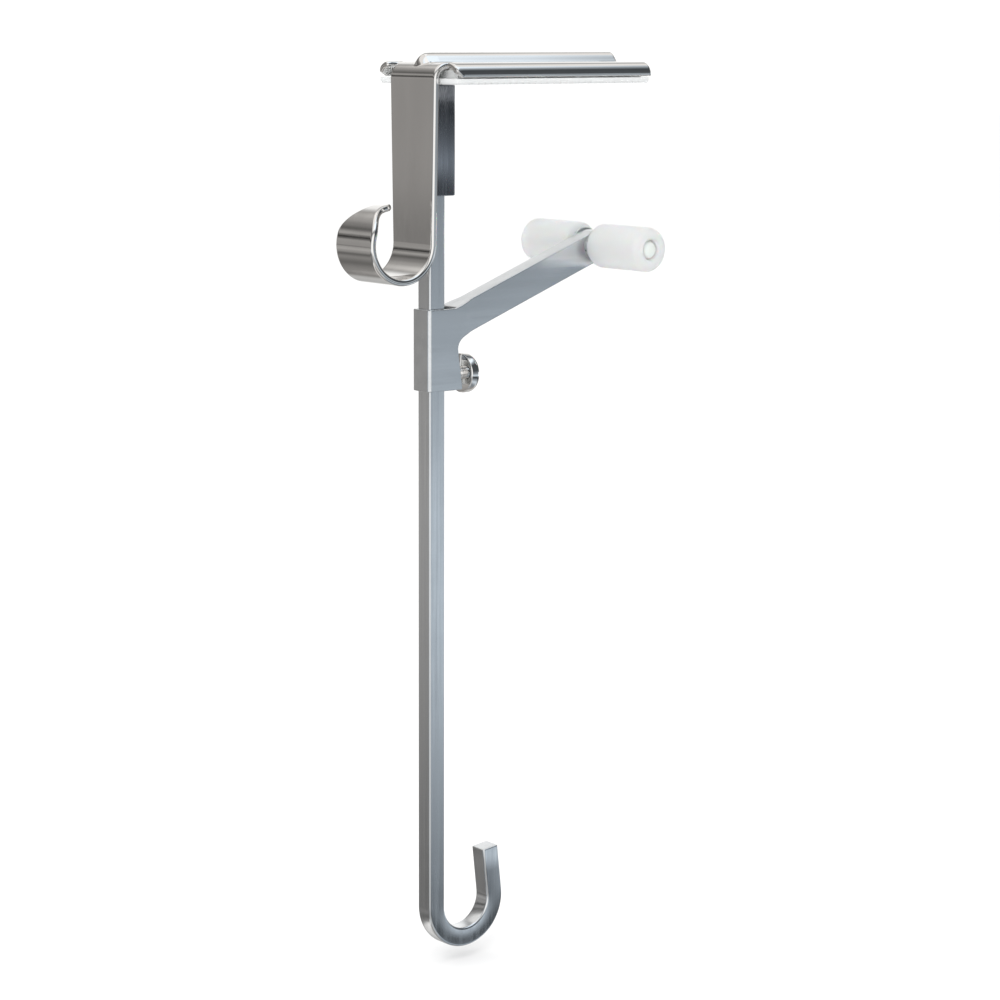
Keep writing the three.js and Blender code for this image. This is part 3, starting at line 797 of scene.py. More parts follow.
    def _add_tab(self, made: bmesh.types.BMesh, section: Profile,
                 front: Sequence[bmesh.types.BMVert], side: int) -> None:
        """Adds the tab beside a slot, its lower corner rounded.

        Args:
            made: the sheet so far.
            section: (x, z) of each point of the plate's section.
            front: the plate's last row.
            side: 1 on the right, -1 on the left.
        """
        foot = self.mid_z + self.sheet / 2 - self.flange_depth
        tab = [i for i, (x, _) in enumerate(section) if side * x >= self.slot_outer - TOUCH]
        grid = [[front[i] for i in tab]]
        for share in (0.5, 1.0):
            row = []
            for i in tab:
                x, z = section[i]
                under = max(0.0, foot + self.tab_corner - z)
                cut = self.tab_corner - math.sqrt(max(0.0, self.tab_corner ** 2 - under ** 2))
                reach = self.bar_y - self.tab_reach + cut - self.flat_end
                row.append(made.verts.new((x, self.flat_end + reach * share, z)))
            grid.append(row)
        self._skin(made, grid)

    def rounded_sheet(self) -> bmesh.types.BMesh:
        """Gives the surface its thickness and a round sheared edge.

        Returns:
            The closed sheet.
        """
        surface = self.shape()
        surface.normal_update()
        made = bmesh.new()
        half = self.sheet / 2
        upper, lower, rims = {}, {}, {}
        for point in surface.verts:
            normal = point.normal.copy()
            out, width = self._rim_frame(point)
            base = point.co - out * width
            if width == 0.0:
                upper[point] = made.verts.new(base + normal * half)
                lower[point] = made.verts.new(base - normal * half)
                continue
            ring = []
            for k in range(self.rim_steps + 1):
                turn = math.pi * (0.5 - k / self.rim_steps)
                ring.append(made.verts.new(base + out * (width * math.cos(turn))
                                           + normal * (half * math.sin(turn))))
            rims[point] = ring
            upper[point], lower[point] = ring[0], ring[-1]
        for face in surface.faces:
            made.faces.new([upper[point] for point in face.verts])
            made.faces.new([lower[point] for point in reversed(face.verts)])
        for edge in surface.edges:
            if not edge.is_boundary:
                continue
            loop = edge.link_loops[0]
            first, second = rims[loop.vert], rims[loop.link_loop_next.vert]
            for k in range(self.rim_steps):
                made.faces.new((second[k], first[k], first[k + 1], second[k + 1]))
        surface.free()
        bmesh.ops.recalc_face_normals(made, faces=made.faces)
        return made

    def _rim_frame(self, point: bmesh.types.BMVert) -> tuple[Vector, float]:
        """Finds how an edge point of the surface is rounded.

        Args:
            point: any point of the surface.

        Returns:
            Direction out of the sheet, lengthened at corners, and the width of the rounding,
            which is 0 for a point inside the sheet.
        """
        border = [edge for edge in point.link_edges if edge.is_boundary]
        if len(border) != 2:
            return Vector(), 0.0
        outs = []
        for edge in border:
            loop = edge.link_loops[0]
            along = loop.link_loop_next.vert.co - loop.vert.co
            outs.append(along.cross(point.normal).normalized())
        out = outs[0] + outs[1]
        out = out / max(0.5 * out.length_squared, 0.6)
        inside = [edge.calc_length() for edge in point.link_edges if not edge.is_boundary]
        room = min(inside) if inside else min(edge.calc_length() for edge in border)
        return out, min(self.edge, self.rim_room * room)

    @staticmethod
    def _skin(made: bmesh.types.BMesh, rows: Sequence[Sequence[bmesh.types.BMVert]]) -> None:
        """Adds the faces between rows of points.

        Args:
            made: the sheet so far.
            rows: rows of equal length.
        """
        for near, far in zip(rows, rows[1:]):
            for k in range(len(near) - 1):
                made.faces.new((near[k], near[k + 1], far[k + 1], far[k]))

    def build(self, shop: Workshop) -> None:
        """Makes the bracket.

        Args:
            shop: workshop that makes and dresses the pieces.
        """
        shop.piece("bracket", self.rounded_sheet(), Body.HANGER, CHROME, ["top_bracket"],
                   even=True)


# ---- desk pad ----

@dataclass
class DeskPad:
    """Soft pad under the plate and the adhesive film that holds it."""

    edge: float = 0.8 * MM
    slab_top: float = 1.7 * MM
    rib_half: float = 15.1 * MM
    rib_setback: float = 2.98 * MM
    groove_depth: float = 0.25 * MM
    groove_pitch: float = 2.4 * MM
    groove_mouth: float = 0.45 * MM
    groove_floor: float = 0.15 * MM
    rib_step: float = 0.04 * MM
    film_corner: float = 2.0 * MM
    film_edge: float = 0.06 * MM
    end_ease: tuple[tuple[float, float, float], ...] = (
        (0.0, 0.5, 0.9), (0.15, 0.25, 0.4), (0.5, 0.06, 0.12), (1.0, 0.0, 0.0))

    def shape(self) -> bmesh.types.BMesh:
        """Builds the slab and its rib as one body, with shallow grip grooves underneath.

        Returns:
            The mesh.
        """
        low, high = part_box("desk_pad")
        half = high.x
        top = high.z
        rings: list[Ring] = []
        stations = self._stations(low.y, high.y)
        for y, rib, foot, pull in stations:
            rib_top = top if rib else self.slab_top
            outline = rounded_outline([
                (-half + pull, foot, self.edge), (half - pull, foot, self.edge),
                (half - pull, self.slab_top, 0), (self.rib_half, self.slab_top, 0),
                (self.rib_half, rib_top, 0), (-self.rib_half, rib_top, 0),
                (-self.rib_half, self.slab_top, 0), (-half + pull, self.slab_top, 0)], 5)
            rings.append([Vector((x, y, z)) for x, z in outline])
        return loft(rings)

    def _stations(self, front: float, back: float) -> list[tuple[float, bool, float, float]]:
        """Rings along the pad.

        Args:
            front: front end of the pad.
            back: back end of the pad.

        Returns:
            (y, whether the rib stands here, height of the underside, inset of the sides).
        """
        rib_y = front + self.rib_setback
        ends = [(reach * MM, foot * MM, pull * MM) for reach, foot, pull in self.end_ease]
        rows = [(front + reach, False, foot, pull) for reach, foot, pull in ends]
        rows += [(rib_y, False, 0.0, 0.0), (rib_y + self.rib_step, True, 0.0, 0.0)]
        mouth, bed, depth = self.groove_mouth, self.groove_floor, self.groove_depth
        y = rib_y + self.groove_pitch
        while y < back - self.groove_pitch:
            rows += [(y - mouth, True, 0.0, 0.0), (y - bed, True, depth, 0.0),
                     (y + bed, True, depth, 0.0), (y + mouth, True, 0.0, 0.0)]
            y += self.groove_pitch
        return rows + [(back - reach, True, foot, pull) for reach, foot, pull in reversed(ends)]

    def film(self) -> bmesh.types.BMesh:
        """Builds the adhesive film with rounded corners.

        Returns:
            The mesh.
        """
        low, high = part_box("pad_adhesive")
        centre = (low + high) / 2
        corners = ((low.x, low.y), (high.x, low.y), (high.x, high.y), (low.x, high.y))
        outline = rounded_outline([(x, y, self.film_corner) for x, y in corners], 6)
        inner = [(centre.x + (x - centre.x) * 0.997, centre.y + (y - centre.y) * 0.999)
                 for x, y in outline]
        levels = ((inner, low.z), (outline, low.z + self.film_edge),
                  (outline, high.z - self.film_edge), (inner, high.z))
        return loft([[Vector((x, y, z)) for x, y in points] for points, z in levels])

    def build(self, shop: Workshop) -> None:
        """Makes the pad and its film.

        Args:
            shop: workshop that makes and dresses the pieces.
        """
        shop.piece("desk_pad_soft", self.shape(), Body.HANGER, PAD_SILICONE, ["desk_pad"], sharp=50.0)
        shop.piece("adhesive_film", self.film(), Body.HANGER, FILM, ["pad_adhesive"], sharp=60.0)


# ---- hanger bar ----

@dataclass
class HangerBar:
    """Square bar with its bag hook, the socket it sits in and the welds."""

    corner: float = 0.75 * MM
    hook_radius: float = 11.45 * MM
    hook_lean: float = 6.5
    leg: float = 14.5 * MM
    end_ease: float = 0.35 * MM
    socket_corner: float = 1.0 * MM
    bore_corner: float = 0.5 * MM
    socket_wall: float = 1.95 * MM
    socket_ease: float = 0.3 * MM
    hook_steps: int = 60
    weld_rows: int = 90
    weld_ripples: int = 15
    crown_corner: float = 1.2 * MM

    def path(self) -> list[tuple[Vector, Vector]]:
        """Stations of the bar from its top to the tip of the hook.

        Returns:
            (point, direction across the bar) in the plane of the hook.
        """
        low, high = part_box("hanger_bar")
        size = high.x - low.x
        y = low.y + size / 2
        centre_y = y + self.hook_radius
        centre_z = low.z + self.hook_radius + size / 2
        rows = [(Vector((0, y, high.z - share * (high.z - centre_z))), Vector((0, 1, 0)))
                for share in (0.0, 0.001, 0.25, 0.5, 0.75, 0.995)]
        turn = 180 + self.hook_lean
        for k in range(self.hook_steps + 1):
            angle = math.radians(180 + turn * k / self.hook_steps)
            across = Vector((0, -math.cos(angle), -math.sin(angle)))
            point = Vector((0, centre_y, centre_z)) - across * self.hook_radius
            rows.append((point, across))
        point, across = rows[-1]
        ahead = Vector((0, across.z, -across.y))
        for share in (0.03, 0.5, 1.0):
            rows.append((point + ahead * (self.leg - self.end_ease) * share, across))
        return rows

    def bar(self) -> bmesh.types.BMesh:
        """Sweeps the rounded square down the bar and round the hook.

        Returns:
            The mesh.
        """
        low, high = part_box("hanger_bar")
        size = high.x - low.x
        outline = square_outline(size, self.corner)
        rows = self.path()
        rings = [[point + Vector((x, 0, 0)) + across * a for x, a in outline]
                 for point, across in rows]
        point, across = rows[-1]
        ahead = Vector((0, across.z, -across.y))
        for inset, reach in ((0.1, 0.6), (0.5, 0.95), (1.0, 1.0)):
            scale = 1 - 2 * self.end_ease * inset / size
            rings.append([point + ahead * self.end_ease * reach
                          + (Vector((x, 0, 0)) + across * a) * scale for x, a in outline])
        return loft(rings)

    def socket(self) -> bmesh.types.BMesh:
        """Builds the square tube with eased ends.

        Returns:
            The mesh.
        """
        low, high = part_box("bar_socket")
        size = high.x - low.x
        y = (low.y + high.y) / 2
        ease = self.socket_ease
        outside = square_outline(size, self.socket_corner)
        bore = square_outline(size - 2 * self.socket_wall, self.bore_corner)
        rings: list[Ring] = []

        def ring(points: Profile, z: float, grow: float) -> None:
            """Adds one ring, drawn in or out by a little."""
            scale = 1 + 2 * grow / size
            rings.append([Vector((a * scale, y + b * scale, z)) for a, b in points])

        for z, grow in ((low.z, -ease), (low.z + 0.35 * ease, -0.3 * ease), (low.z + ease, 0.0),
                        (high.z - ease, 0.0), (high.z - 0.35 * ease, -0.3 * ease), (high.z, -ease)):
            ring(outside, z, grow)
        for z, grow in ((high.z, ease), (high.z - ease, 0.0), (low.z + ease, 0.0), (low.z, ease)):
            ring(bore, z, grow)
        return loft(rings, closed=True)

    def socket_weld(self, node: str, side: int) -> bmesh.types.BMesh:
        """Builds one rippled fillet weld.

        Args:
            node: frame node that it stands for.
            side: 1 on the right of the socket, -1 on the left.

        Returns:
            The mesh.
        """
        low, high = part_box(node)
        root = Vector((low.x if side > 0 else high.x, low.y, 0))
        leg = high.x - low.x
        rings = []
        for k in range(self.weld_rows + 1):
            share = k / self.weld_rows
            z = low.z + (high.z - low.z) * share
            ripple = 0.93 + 0.06 * math.sin(2 * math.pi * self.weld_ripples * share) ** 2
            taper = min(1.0, 0.35 + 9 * share, 0.35 + 9 * (1 - share))
            size = leg * ripple * taper
            ring = [root + Vector((0, 0, z))]
            for step in range(9):
                angle = math.radians(90 * step / 8)
                bow = 0.74 + 0.26 * abs(math.cos(2 * angle))
                ring.append(root + Vector((side * size * bow * math.cos(angle),
                                           size * bow * math.sin(angle), z)))
            rings.append(ring)
        return loft(rings)

    def end_weld(self) -> bmesh.types.BMesh:
        """Builds the low crowned weld over the end of the bar.

        Returns:
            The mesh.
        """
        low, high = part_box("bar_end_weld")
        centre = (low + high) / 2
        size = high.x - low.x
        outline = square_outline(size, self.crown_corner, 6)
        rings = []
        for share, height in ((0.90, 0.0), (0.98, 0.2), (1.0, 0.45), (0.97, 0.7), (0.86, 0.88),
                              (0.6, 0.97), (0.3, 1.0)):
            z = low.z + (high.z - low.z) * height
            rings.append([Vector((a * share, centre.y + b * share, z)) for a, b in outline])
        return loft(rings)

    def build(self, shop: Workshop) -> None:
        """Makes the bar, its socket and the welds.

        Args:
            shop: workshop that makes and dresses the pieces.
        """
        shop.piece("hanger_bar_swept", self.bar(), Body.HANGER, SATIN_UPRIGHT, ["hanger_bar"],
                   sharp=50.0)
        # The socket's dark finish is painted shade, not a different metal.
        shop.piece("socket_tube", self.socket(), Body.HANGER, SATIN_SOCKET_SHADED, ["bar_socket"],
                   sharp=50.0)
        for side, word in ((1, "right"), (-1, "left")):
            node = f"socket_weld_{word}"
            shop.piece(f"weld_bead_{word}", self.socket_weld(node, side), Body.HANGER, WELD, [node],
                       sharp=60.0)
        shop.piece("weld_crown", self.end_weld(), Body.HANGER, WELD, ["bar_end_weld"], sharp=60.0)


# ---- slider ----

@dataclass
class Slider:
    """Folded slider with its arm, and the threaded block inside it."""

    edge: float = 0.28 * MM

    def build(self, shop: Workshop) -> None:
        """Makes the slider and the block.

        Args:
            shop: workshop that makes and dresses the pieces.
        """
        shop.piece("slider_folded", copy_of_node("slider_arm"), Body.SLIDER, SATIN_FOLDED,
                   ["slider_arm"], bevel=self.edge, bevel_angle=35.0)
        shop.piece("thread_block", copy_of_node("threaded_block"), Body.SLIDER, BRIGHT_ZINC,
                   ["threaded_block"], bevel=self.edge, bevel_angle=50.0)


# ---- clamp screw ----

@dataclass
class ClampScrew:
    """Slotted clamp screw with a cut thread, and its nylon tip."""

    pitch: float = 0.7 * MM
    thread_depth: float = 0.28 * MM
    shank: float = 2.0 * MM
    head: float = 6.0 * MM
    head_length: float = 3.7 * MM
    socket: float = 1.1 * MM
    socket_depth: float = 1.5 * MM
    slot_width: float = 1.4 * MM
    slot_depth: float = 1.2 * MM
    rim: float = 0.5 * MM
    crown: float = 1.7 * MM
    slot_fillet: float = 0.25 * MM
    thread_rows: int = 80
    lead_rows: int = 6
    segments: int = 72

    def threaded_profile(self, angle: float, start: float, end: float) -> Profile:
        """Half section of the screw where the thread has turned by an angle.

        Args:
            angle: angle round the axis.
            start: end of the shank.
            end: outer face of the head.

        Returns:
            Closed outline of (radius, along) points.
        """
        head_start = end - self.head_length
        points = [(0.0, start + self.socket_depth), (self.socket * 0.9, start + self.socket_depth),
                  (self.socket, start + self.socket_depth - 0.1 * MM), (self.socket, start)]
        count = self.thread_rows
        for k in range(count + 1):
            along = start + (head_start - start) * k / count
            phase = ((along - start) / self.pitch - angle / (2 * math.pi)) % 1.0
            cut = 1 - abs(2 * phase - 1)
            lead = min(1.0, k / self.lead_rows, (count - k) / self.lead_rows)
            points.append((self.shank - self.thread_depth * (cut * lead + (1 - lead) * 0.8), along))
        for radius, centre, first, steps in ((self.rim, head_start + self.rim, -90, 5),
                                             (self.crown, end - self.crown, 0, 8)):
            for k in range(steps + 1):
                turn = math.radians(first + 90 * k / steps)
                points.append((self.head - radius + radius * math.cos(turn),
                               centre + radius * math.sin(turn)))
        points.append((0.0, end))
        return points

    def shape(self) -> bmesh.types.BMesh:
        """Builds the screw with its thread; the slot is cut afterwards.

        Returns:
            The mesh.
        """
        low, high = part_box("clamp_screw")
        centre = (low + high) / 2
        rings: list[Ring] = []
        for k in range(self.segments):
            angle = 2 * math.pi * k / self.segments
            rings.append([Vector((centre.x + radius * math.cos(angle), along,
                                  centre.z + radius * math.sin(angle)))
                          for radius, along in self.threaded_profile(angle, low.y, high.y)])
        made = bmesh.new()
        rows = [[made.verts.new(point) for point in ring] for ring in rings]
        for near, far in zip(rows, rows[1:] + rows[:1]):
            for k in range(len(near) - 1):
                made.faces.new((near[k], near[k + 1], far[k + 1], far[k]))
        bmesh.ops.remove_doubles(made, verts=made.verts, dist=1e-7)
        bmesh.ops.recalc_face_normals(made, faces=made.faces)
        return made

    def cut_slot(self, screw: bpy.types.Object) -> None:
        """Cuts the driving slot across the head.

        Args:
            screw: the screw.
        """
        low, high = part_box("clamp_screw")
        centre = (low + high) / 2
        half = self.slot_width / 2
        reach = 1.3 * self.head
        floor = high.y - self.slot_depth
        fillet = self.slot_fillet
        outline = rounded_outline([(floor, -half, fillet), (floor, half, fillet),
                                   (high.y + MM, half, 0.0), (high.y + MM, -half, 0.0)], 4)
        cutter = loft([[Vector((x, y, centre.z + z)) for y, z in outline]
                       for x in (-reach, reach)])
        form = as_object("slot_form", cutter)
        cut = screw.modifiers.new("slot", "BOOLEAN")
        cut.operation = "DIFFERENCE"
        cut.solver = "EXACT"
        cut.object = form
        bpy.context.view_layer.update()
        world = form.matrix_world.copy()
        form.parent = screw.parent
        form.matrix_world = world
        graph = bpy.context.evaluated_depsgraph_get()
        finished = bpy.data.meshes.new_from_object(screw.evaluated_get(graph))
        screw.modifiers.clear()
        old = screw.data
        screw.data = finished
        bpy.data.meshes.remove(old)
        bpy.data.objects.remove(form)
        finished.shade_smooth()
        finished.set_sharp_from_angle(angle=math.radians(38))

    def tip(self) -> bmesh.types.BMesh:
        """Builds the nylon tip with its spigot.

        Returns:
            The mesh.
        """
        low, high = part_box("pressure_tip")
        centre = (low + high) / 2
        radius = high.x
        shoulder = low.y + 1.6 * MM
        outline = [(0.0, low.y), (radius - 0.4 * MM, low.y), (radius - 0.12 * MM, low.y + 0.12 * MM),
                   (radius, low.y + 0.4 * MM), (radius, shoulder - 0.1 * MM),
                   (radius - 0.1 * MM, shoulder), (0.8 * MM, shoulder), (0.8 * MM, high.y - 0.2 * MM),
                   (0.6 * MM, high.y), (0.0, high.y)]
        return turned([(r, a - centre.y) for r, a in outline], Axis.Y, centre, 40)

    def build(self, shop: Workshop) -> None:
        """Makes the screw and its tip.

        Args:
            shop: workshop that makes and dresses the pieces.
        """
        screw = shop.piece("slotted_screw", self.shape(), Body.SCREW, CHROME, ["clamp_screw"])
        self.cut_slot(screw)
        shop.piece("nylon_tip", self.tip(), Body.TIP, NYLON, ["pressure_tip"], sharp=40.0)


# ---- cross pin and rollers ----

@dataclass
class RollerPair:
    """Cross pin with a washer, bush, soft roller and push-on clip on each side."""

    roller_edge: float = 2.4 * MM
    bush_bore: float = 2.15 * MM
    washer_bore: float = 2.3 * MM
    clip_bore: float = 2.07 * MM
    roller_bore: float = 3.0 * MM
    cap_gap: float = 0.06 * MM
    cap_wall: float = 0.3 * MM
    cap_ease: float = 0.12 * MM
    dome_foot: float = 2.45 * MM
    pin_groove: float = 0.12 * MM
    groove_slope: float = 0.08 * MM
    pin_ease: float = 0.35 * MM
    washer_edge: float = 0.2 * MM
    bush_edge: float = 0.15 * MM

    def _centred(self, node: str) -> tuple[Vector, float, float]:
        """Middle of a node with half its length and its outer radius."""
        low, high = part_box(node)
        return (low + high) / 2, (high.x - low.x) / 2, (high.z - low.z) / 2

    def pin(self) -> bmesh.types.BMesh:
        """Builds the pin with rounded ends and a turned groove under each clip.

        Returns:
            The mesh.
        """
        centre, half, radius = self._centred("cross_pin")
        clip_low, clip_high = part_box("pin_clip_right")
        inner, slope, ease = radius - self.pin_groove, self.groove_slope, self.pin_ease
        side = [(radius, 0.0), (radius, clip_low.x), (inner, clip_low.x + slope),
                (inner, clip_high.x - slope), (radius, clip_high.x)]
        side += [(radius - ease * (1 - math.cos(math.radians(a))),
                  half - ease * (1 - math.sin(math.radians(a)))) for a in range(0, 91, 18)]
        side.append((0.0, half))
        outline = [(r, -a) for r, a in reversed(side)] + side[1:]
        return turned(outline, Axis.X, centre, 48)

    def cap(self, node: str) -> bmesh.types.BMesh:
        """Builds a push-on cap: a thin flange and a low dome over the end of the pin.

        Args:
            node: frame node that it stands for.

        Returns:
            The mesh.
        """
        centre, half, radius = self._centred(node)
        outward = 1.0 if centre.x > 0 else -1.0
        pin_end = (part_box("cross_pin")[1].x - abs(centre.x)) + self.cap_gap
        dome = pin_end + self.cap_wall
        ease = self.cap_ease
        section = [(self.clip_bore, -half), (radius - ease, -half), (radius, -half + ease),
                   (radius, half - ease), (radius - ease, half), (self.dome_foot, half + ease)]
        rise = dome - half - ease
        for k in range(1, 9):
            angle = math.radians(90 * k / 8)
            section.append((self.dome_foot * math.cos(angle) ** 0.7 if k < 8 else 0.0,
                            half + ease + rise * math.sin(angle)))
        section += [(0.0, pin_end), (self.clip_bore - ease, pin_end), (self.clip_bore, pin_end - ease)]
        return turned([(r, a * outward) for r, a in section], Axis.X, centre, 56)

    def build(self, shop: Workshop) -> None:
        """Makes the pin and both rollers.

        Args:
            shop: workshop that makes and dresses the pieces.
        """
        shop.piece("pin_rod", self.pin(), Body.SLIDER, BRIGHT_ZINC, ["cross_pin"], sharp=40.0)
        for word, body in (("right", Body.ROLLER_RIGHT), ("left", Body.ROLLER_LEFT)):
            for node, name, bore, edge, steps, rides, finish, segments, sharp in (
                    (f"pin_washer_{word}", "washer", self.washer_bore, self.washer_edge, 5,
                     Body.SLIDER, BRIGHT_ZINC, 64, 40.0),
                    (f"roller_bush_{word}", "bush", self.bush_bore, self.bush_edge, 5,
                     body, NYLON, 48, 40.0),
                    (f"roller_{word}", "soft_roller", self.roller_bore, self.roller_edge, 8,
                     body, SILICONE, 72, 60.0)):
                centre, half, radius = self._centred(node)
                ring = washer_profile(bore, radius, -half, half, edge, steps)
                shop.piece(f"{name}_{word}", turned(ring, Axis.X, centre, segments), rides,
                           finish, [node], sharp=sharp)
            node = f"pin_clip_{word}"
            shop.piece(f"end_cap_{word}", self.cap(node), Body.SLIDER, NYLON, [node], sharp=50.0)


# ---- studio ----

@dataclass(frozen=True)
class SoftLamp:
    """A large square light: where it hangs, its side in metres and its power in watts."""

    name: str
    place: tuple[float, float, float]
    size: float
    power: float


@dataclass
class Studio:
    """Pale floor, soft light and the camera."""

    lens: float = 100.8
    azimuth: float = 51.0
    tilt: float = 9.6
    roll: float = 0.24
    camera_place: tuple[float, float, float] = (0.6642, -0.5434, 0.0168)
    near_gap: tuple[float, float] = (0.745, 0.87)
    far_gap: tuple[float, float] = (0.86, 0.95)
    side_blend: tuple[float, float] = (-0.1, 0.1)
    lamps: tuple[SoftLamp, ...] = (SoftLamp("key light", (0.9, -1.3, 1.1), 1.2, 9.0),
                                   SoftLamp("fill light", (-1.2, -0.5, 0.5), 1.4, 3.0))
    lamp_aim: tuple[float, float, float] = (0.0, 0.0, -0.1)
    seen_strength: float = 1.1
    warm_tint: tuple[float, float, float] = (1.03, 1.0, 0.965)
    cool_tint: tuple[float, float, float] = (0.90, 1.0, 1.09)
    bright_tint: tuple[float, float, float] = (1.0, 0.995, 0.98)
    floor_drop: float = 0.004
    floor_size: float = 14.0
    floor_colour: tuple[float, float, float, float] = (0.93, 0.93, 0.93, 1.0)
    floor_roughness: float = 0.9
    warm_side: Stops = (
        (-1.0, 0.36), (-0.76, 0.30), (-0.66, 1.0), (-0.63, 0.95), (-0.59, 0.24), (-0.50, 0.15),
        (-0.376, 0.24), (-0.30, 0.14),
        (-0.229, 0.30), (-0.165, 0.40), (-0.11, 0.35), (-0.075, 0.20), (-0.05, 0.30),
        (-0.02, 0.30), (0.096, 0.32), (0.15, 0.12), (0.19, 0.03), (0.23, 0.18), (0.30, 0.36),
        (0.41, 0.12), (0.50, 0.22), (0.58, 0.36), (0.64, 0.9))
    cool_side: Stops = (
        (-1.0, 0.30), (-0.80, 0.26), (-0.66, 0.7), (-0.5, 0.3), (-0.37, 0.04), (-0.31, 0.12),
        (-0.26, 0.44), (-0.20, 0.80),
        (-0.15, 0.66), (-0.11, 0.40), (-0.05, 0.28), (0.05, 0.18), (0.16, 0.08), (0.60, 0.07),
        (0.70, 0.30), (0.80, 1.2))
    bright_side: Stops = (
        (-1.0, 0.45), (-0.70, 0.60), (-0.36, 0.46), (-0.26, 0.72), (-0.17, 1.10), (0.20, 1.15),
        (0.46, 1.0), (0.60, 0.50), (0.70, 0.36), (0.78, 0.6), (0.9, 1.2))

    def camera(self) -> None:
        """Places the camera."""
        data = bpy.data.cameras.new("camera")
        data.lens = self.lens
        data.sensor_width = 36.0
        data.clip_start = 0.01
        data.clip_end = 60.0
        azimuth, tilt, roll = (math.radians(v) for v in (self.azimuth, self.tilt, self.roll))
        right = Vector((math.cos(azimuth), math.sin(azimuth), 0))
        forward = Vector((-math.sin(azimuth) * math.cos(tilt), math.cos(azimuth) * math.cos(tilt),
                          -math.sin(tilt)))
        up = right.cross(forward)
        across = right * math.cos(roll) + up * math.sin(roll)
        above = up * math.cos(roll) - right * math.sin(roll)
        turn = Matrix((across, above, -forward)).transposed().to_4x4()
        made = bpy.data.objects.new("camera", data)
        bpy.context.collection.objects.link(made)
        made.matrix_world = Matrix.Translation(self.camera_place) @ turn
        bpy.context.scene.camera = made

    def floor(self) -> None:
        """Lays the pale floor under the object."""
        low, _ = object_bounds()
        made = bmesh.new()
        bmesh.ops.create_grid(made, x_segments=4, y_segments=4, size=self.floor_size / 2)
        floor = as_object("floor", made)
        floor.location = (0, 0, low.z - self.floor_drop)
        material = bpy.data.materials.new("pale floor")
        material.use_nodes = True
        shader = material.node_tree.nodes["Principled BSDF"]
        shader.inputs["Base Color"].default_value = self.floor_colour
        shader.inputs["Roughness"].default_value = self.floor_roughness
        shader.inputs["Specular IOR Level"].default_value = 0.0
        floor.data.materials.append(material)
        floor.visible_glossy = False
        floor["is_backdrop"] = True

    def world(self) -> None:
        """Builds the soft room: grey, warm on one side and cool on the other, with two white gaps."""
        world = bpy.data.worlds.new("soft room")
        world.use_nodes = True
        bpy.context.scene.world = world
        tree = world.node_tree
        tree.nodes.clear()
        place = add_node(tree, "TexCoord", {}).outputs["Generated"]
        split = add_node(tree, "SeparateXYZ", {"Vector": place})
        near = self._step(tree, self._toward(tree, place, 1), self.near_gap)
        far = self._step(tree, self._toward(tree, place, -1), self.far_gap)
        gap = add_node(tree, "Math", {0: near, 1: far}, operation="MAXIMUM").outputs[0]
        right = self._step(tree, split.outputs["X"], self.side_blend)
        warm, cool, white = (self._ramp(tree, split.outputs["Z"], stops, tint) for stops, tint in (
            (self.warm_side, self.warm_tint), (self.cool_side, self.cool_tint),
            (self.bright_side, self.bright_tint)))
        greys = add_node(tree, "Mix", {"Factor": right, "A": warm, "B": cool}, data_type="RGBA")
        room = add_node(tree, "Mix", {"Factor": gap, "A": greys.outputs["Result"], "B": white},
                        data_type="RGBA")
        lit = add_node(tree, "Background", {"Color": room.outputs["Result"]})
        seen = add_node(tree, "Background", {"Color": (1.0, 1.0, 1.0, 1.0),
                                             "Strength": self.seen_strength})
        rays = add_node(tree, "LightPath", {})
        both = add_node(tree, "MixShader", {0: rays.outputs["Is Glossy Ray"], 1: seen.outputs[0],
                                            2: lit.outputs[0]})
        add_node(tree, "OutputWorld", {"Surface": both.outputs[0]})

    def _toward(self, tree: bpy.types.NodeTree, place: bpy.types.NodeSocket,
                sign: int) -> bpy.types.NodeSocket:
        """How closely a direction's heading follows the heading of a white gap.

        Args:
            tree: node tree of the world.
            place: socket that gives the direction.
            sign: 1 for the near gap, -1 for the one opposite.

        Returns:
            The cosine of the angle between them.
        """
        heading = math.radians(self.azimuth)
        level = add_node(tree, "VectorMath", {0: place, 1: (1, 1, 0)}, operation="MULTIPLY")
        unit = add_node(tree, "VectorMath", {0: level.outputs[0]}, operation="NORMALIZE")
        dot = add_node(tree, "VectorMath", {
            0: unit.outputs[0], 1: (sign * math.sin(heading), -sign * math.cos(heading), 0)},
            operation="DOT_PRODUCT")
        return dot.outputs["Value"]

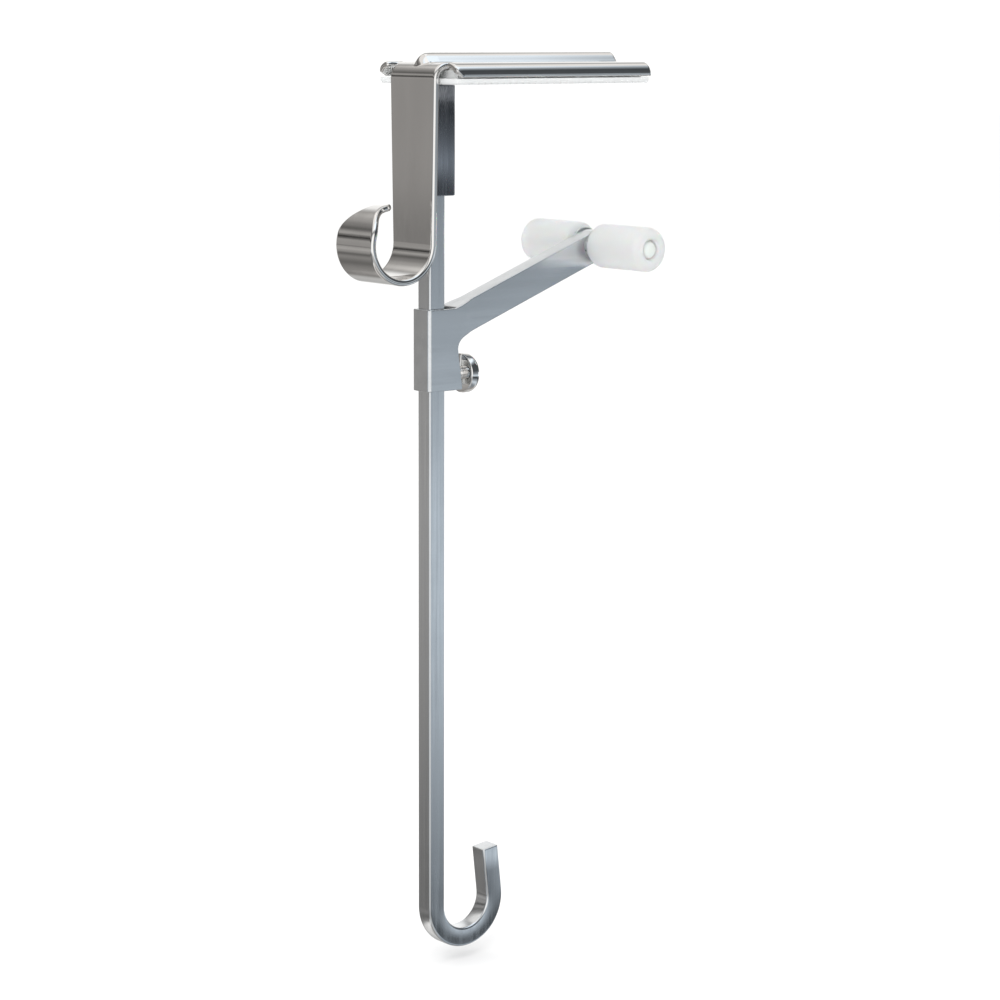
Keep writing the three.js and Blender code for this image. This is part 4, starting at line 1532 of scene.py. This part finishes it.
    @staticmethod
    def _step(tree: bpy.types.NodeTree, value: bpy.types.NodeSocket,
              span: tuple[float, float]) -> bpy.types.NodeSocket:
        """Makes a smooth step from 0 to 1.

        Args:
            tree: node tree of the world.
            value: socket that gives the value.
            span: values where the step starts and ends.

        Returns:
            The socket of the step.
        """
        step = add_node(tree, "MapRange", {"Value": value, "From Min": span[0], "From Max": span[1]},
                        interpolation_type="SMOOTHSTEP")
        return step.outputs["Result"]

    @staticmethod
    def _ramp(tree: bpy.types.NodeTree, height: bpy.types.NodeSocket, stops: Stops,
              tint: tuple[float, float, float]) -> bpy.types.NodeSocket:
        """Brightness that changes with height, in one tint.

        Args:
            tree: node tree of the world.
            height: height of the direction, from -1 to 1.
            stops: (height, brightness) pairs.
            tint: colour that the brightness multiplies.

        Returns:
            The colour.
        """
        scale = add_node(tree, "MapRange", {"Value": height, "From Min": -1.0})
        ramp = add_node(tree, "ValToRGB", {"Fac": scale.outputs["Result"]})
        ramp.color_ramp.interpolation = "EASE"
        elements = ramp.color_ramp.elements
        while len(elements) < len(stops):
            elements.new(0.5)
        for element, (at, _) in zip(elements, stops):
            element.position = (at + 1) / 2
        for element, (_, value) in zip(elements, stops):
            element.color = (*(value * part for part in tint), 1)
        return ramp.outputs["Color"]

    def lights(self) -> None:
        """Hangs the soft lights."""
        for lamp in self.lamps:
            data = bpy.data.lights.new(lamp.name, "AREA")
            data.shape = "SQUARE"
            data.size = lamp.size
            data.energy = lamp.power
            made = bpy.data.objects.new(lamp.name, data)
            made.location = lamp.place
            ahead = Vector(self.lamp_aim) - Vector(lamp.place)
            made.rotation_euler = ahead.to_track_quat("-Z", "Y").to_euler()
            made.visible_glossy = False
            bpy.context.collection.objects.link(made)

    def build(self) -> None:
        """Sets up the studio."""
        self.camera()
        self.floor()
        self.world()
        self.lights()
        bpy.context.scene.view_settings.view_transform = "Standard"


def main() -> None:
    """Builds the object and its studio."""
    logging.basicConfig(level=logging.INFO, format="%(name)s: %(message)s")
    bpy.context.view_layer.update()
    shop = Workshop()
    for part in (Bracket(), DeskPad(), HangerBar(), Slider(), ClampScrew(), RollerPair()):
        part.build(shop)
    Studio().build()
    LOG.info("%d pieces made", len(shop.made))


if __name__ == "__main__":
    main()
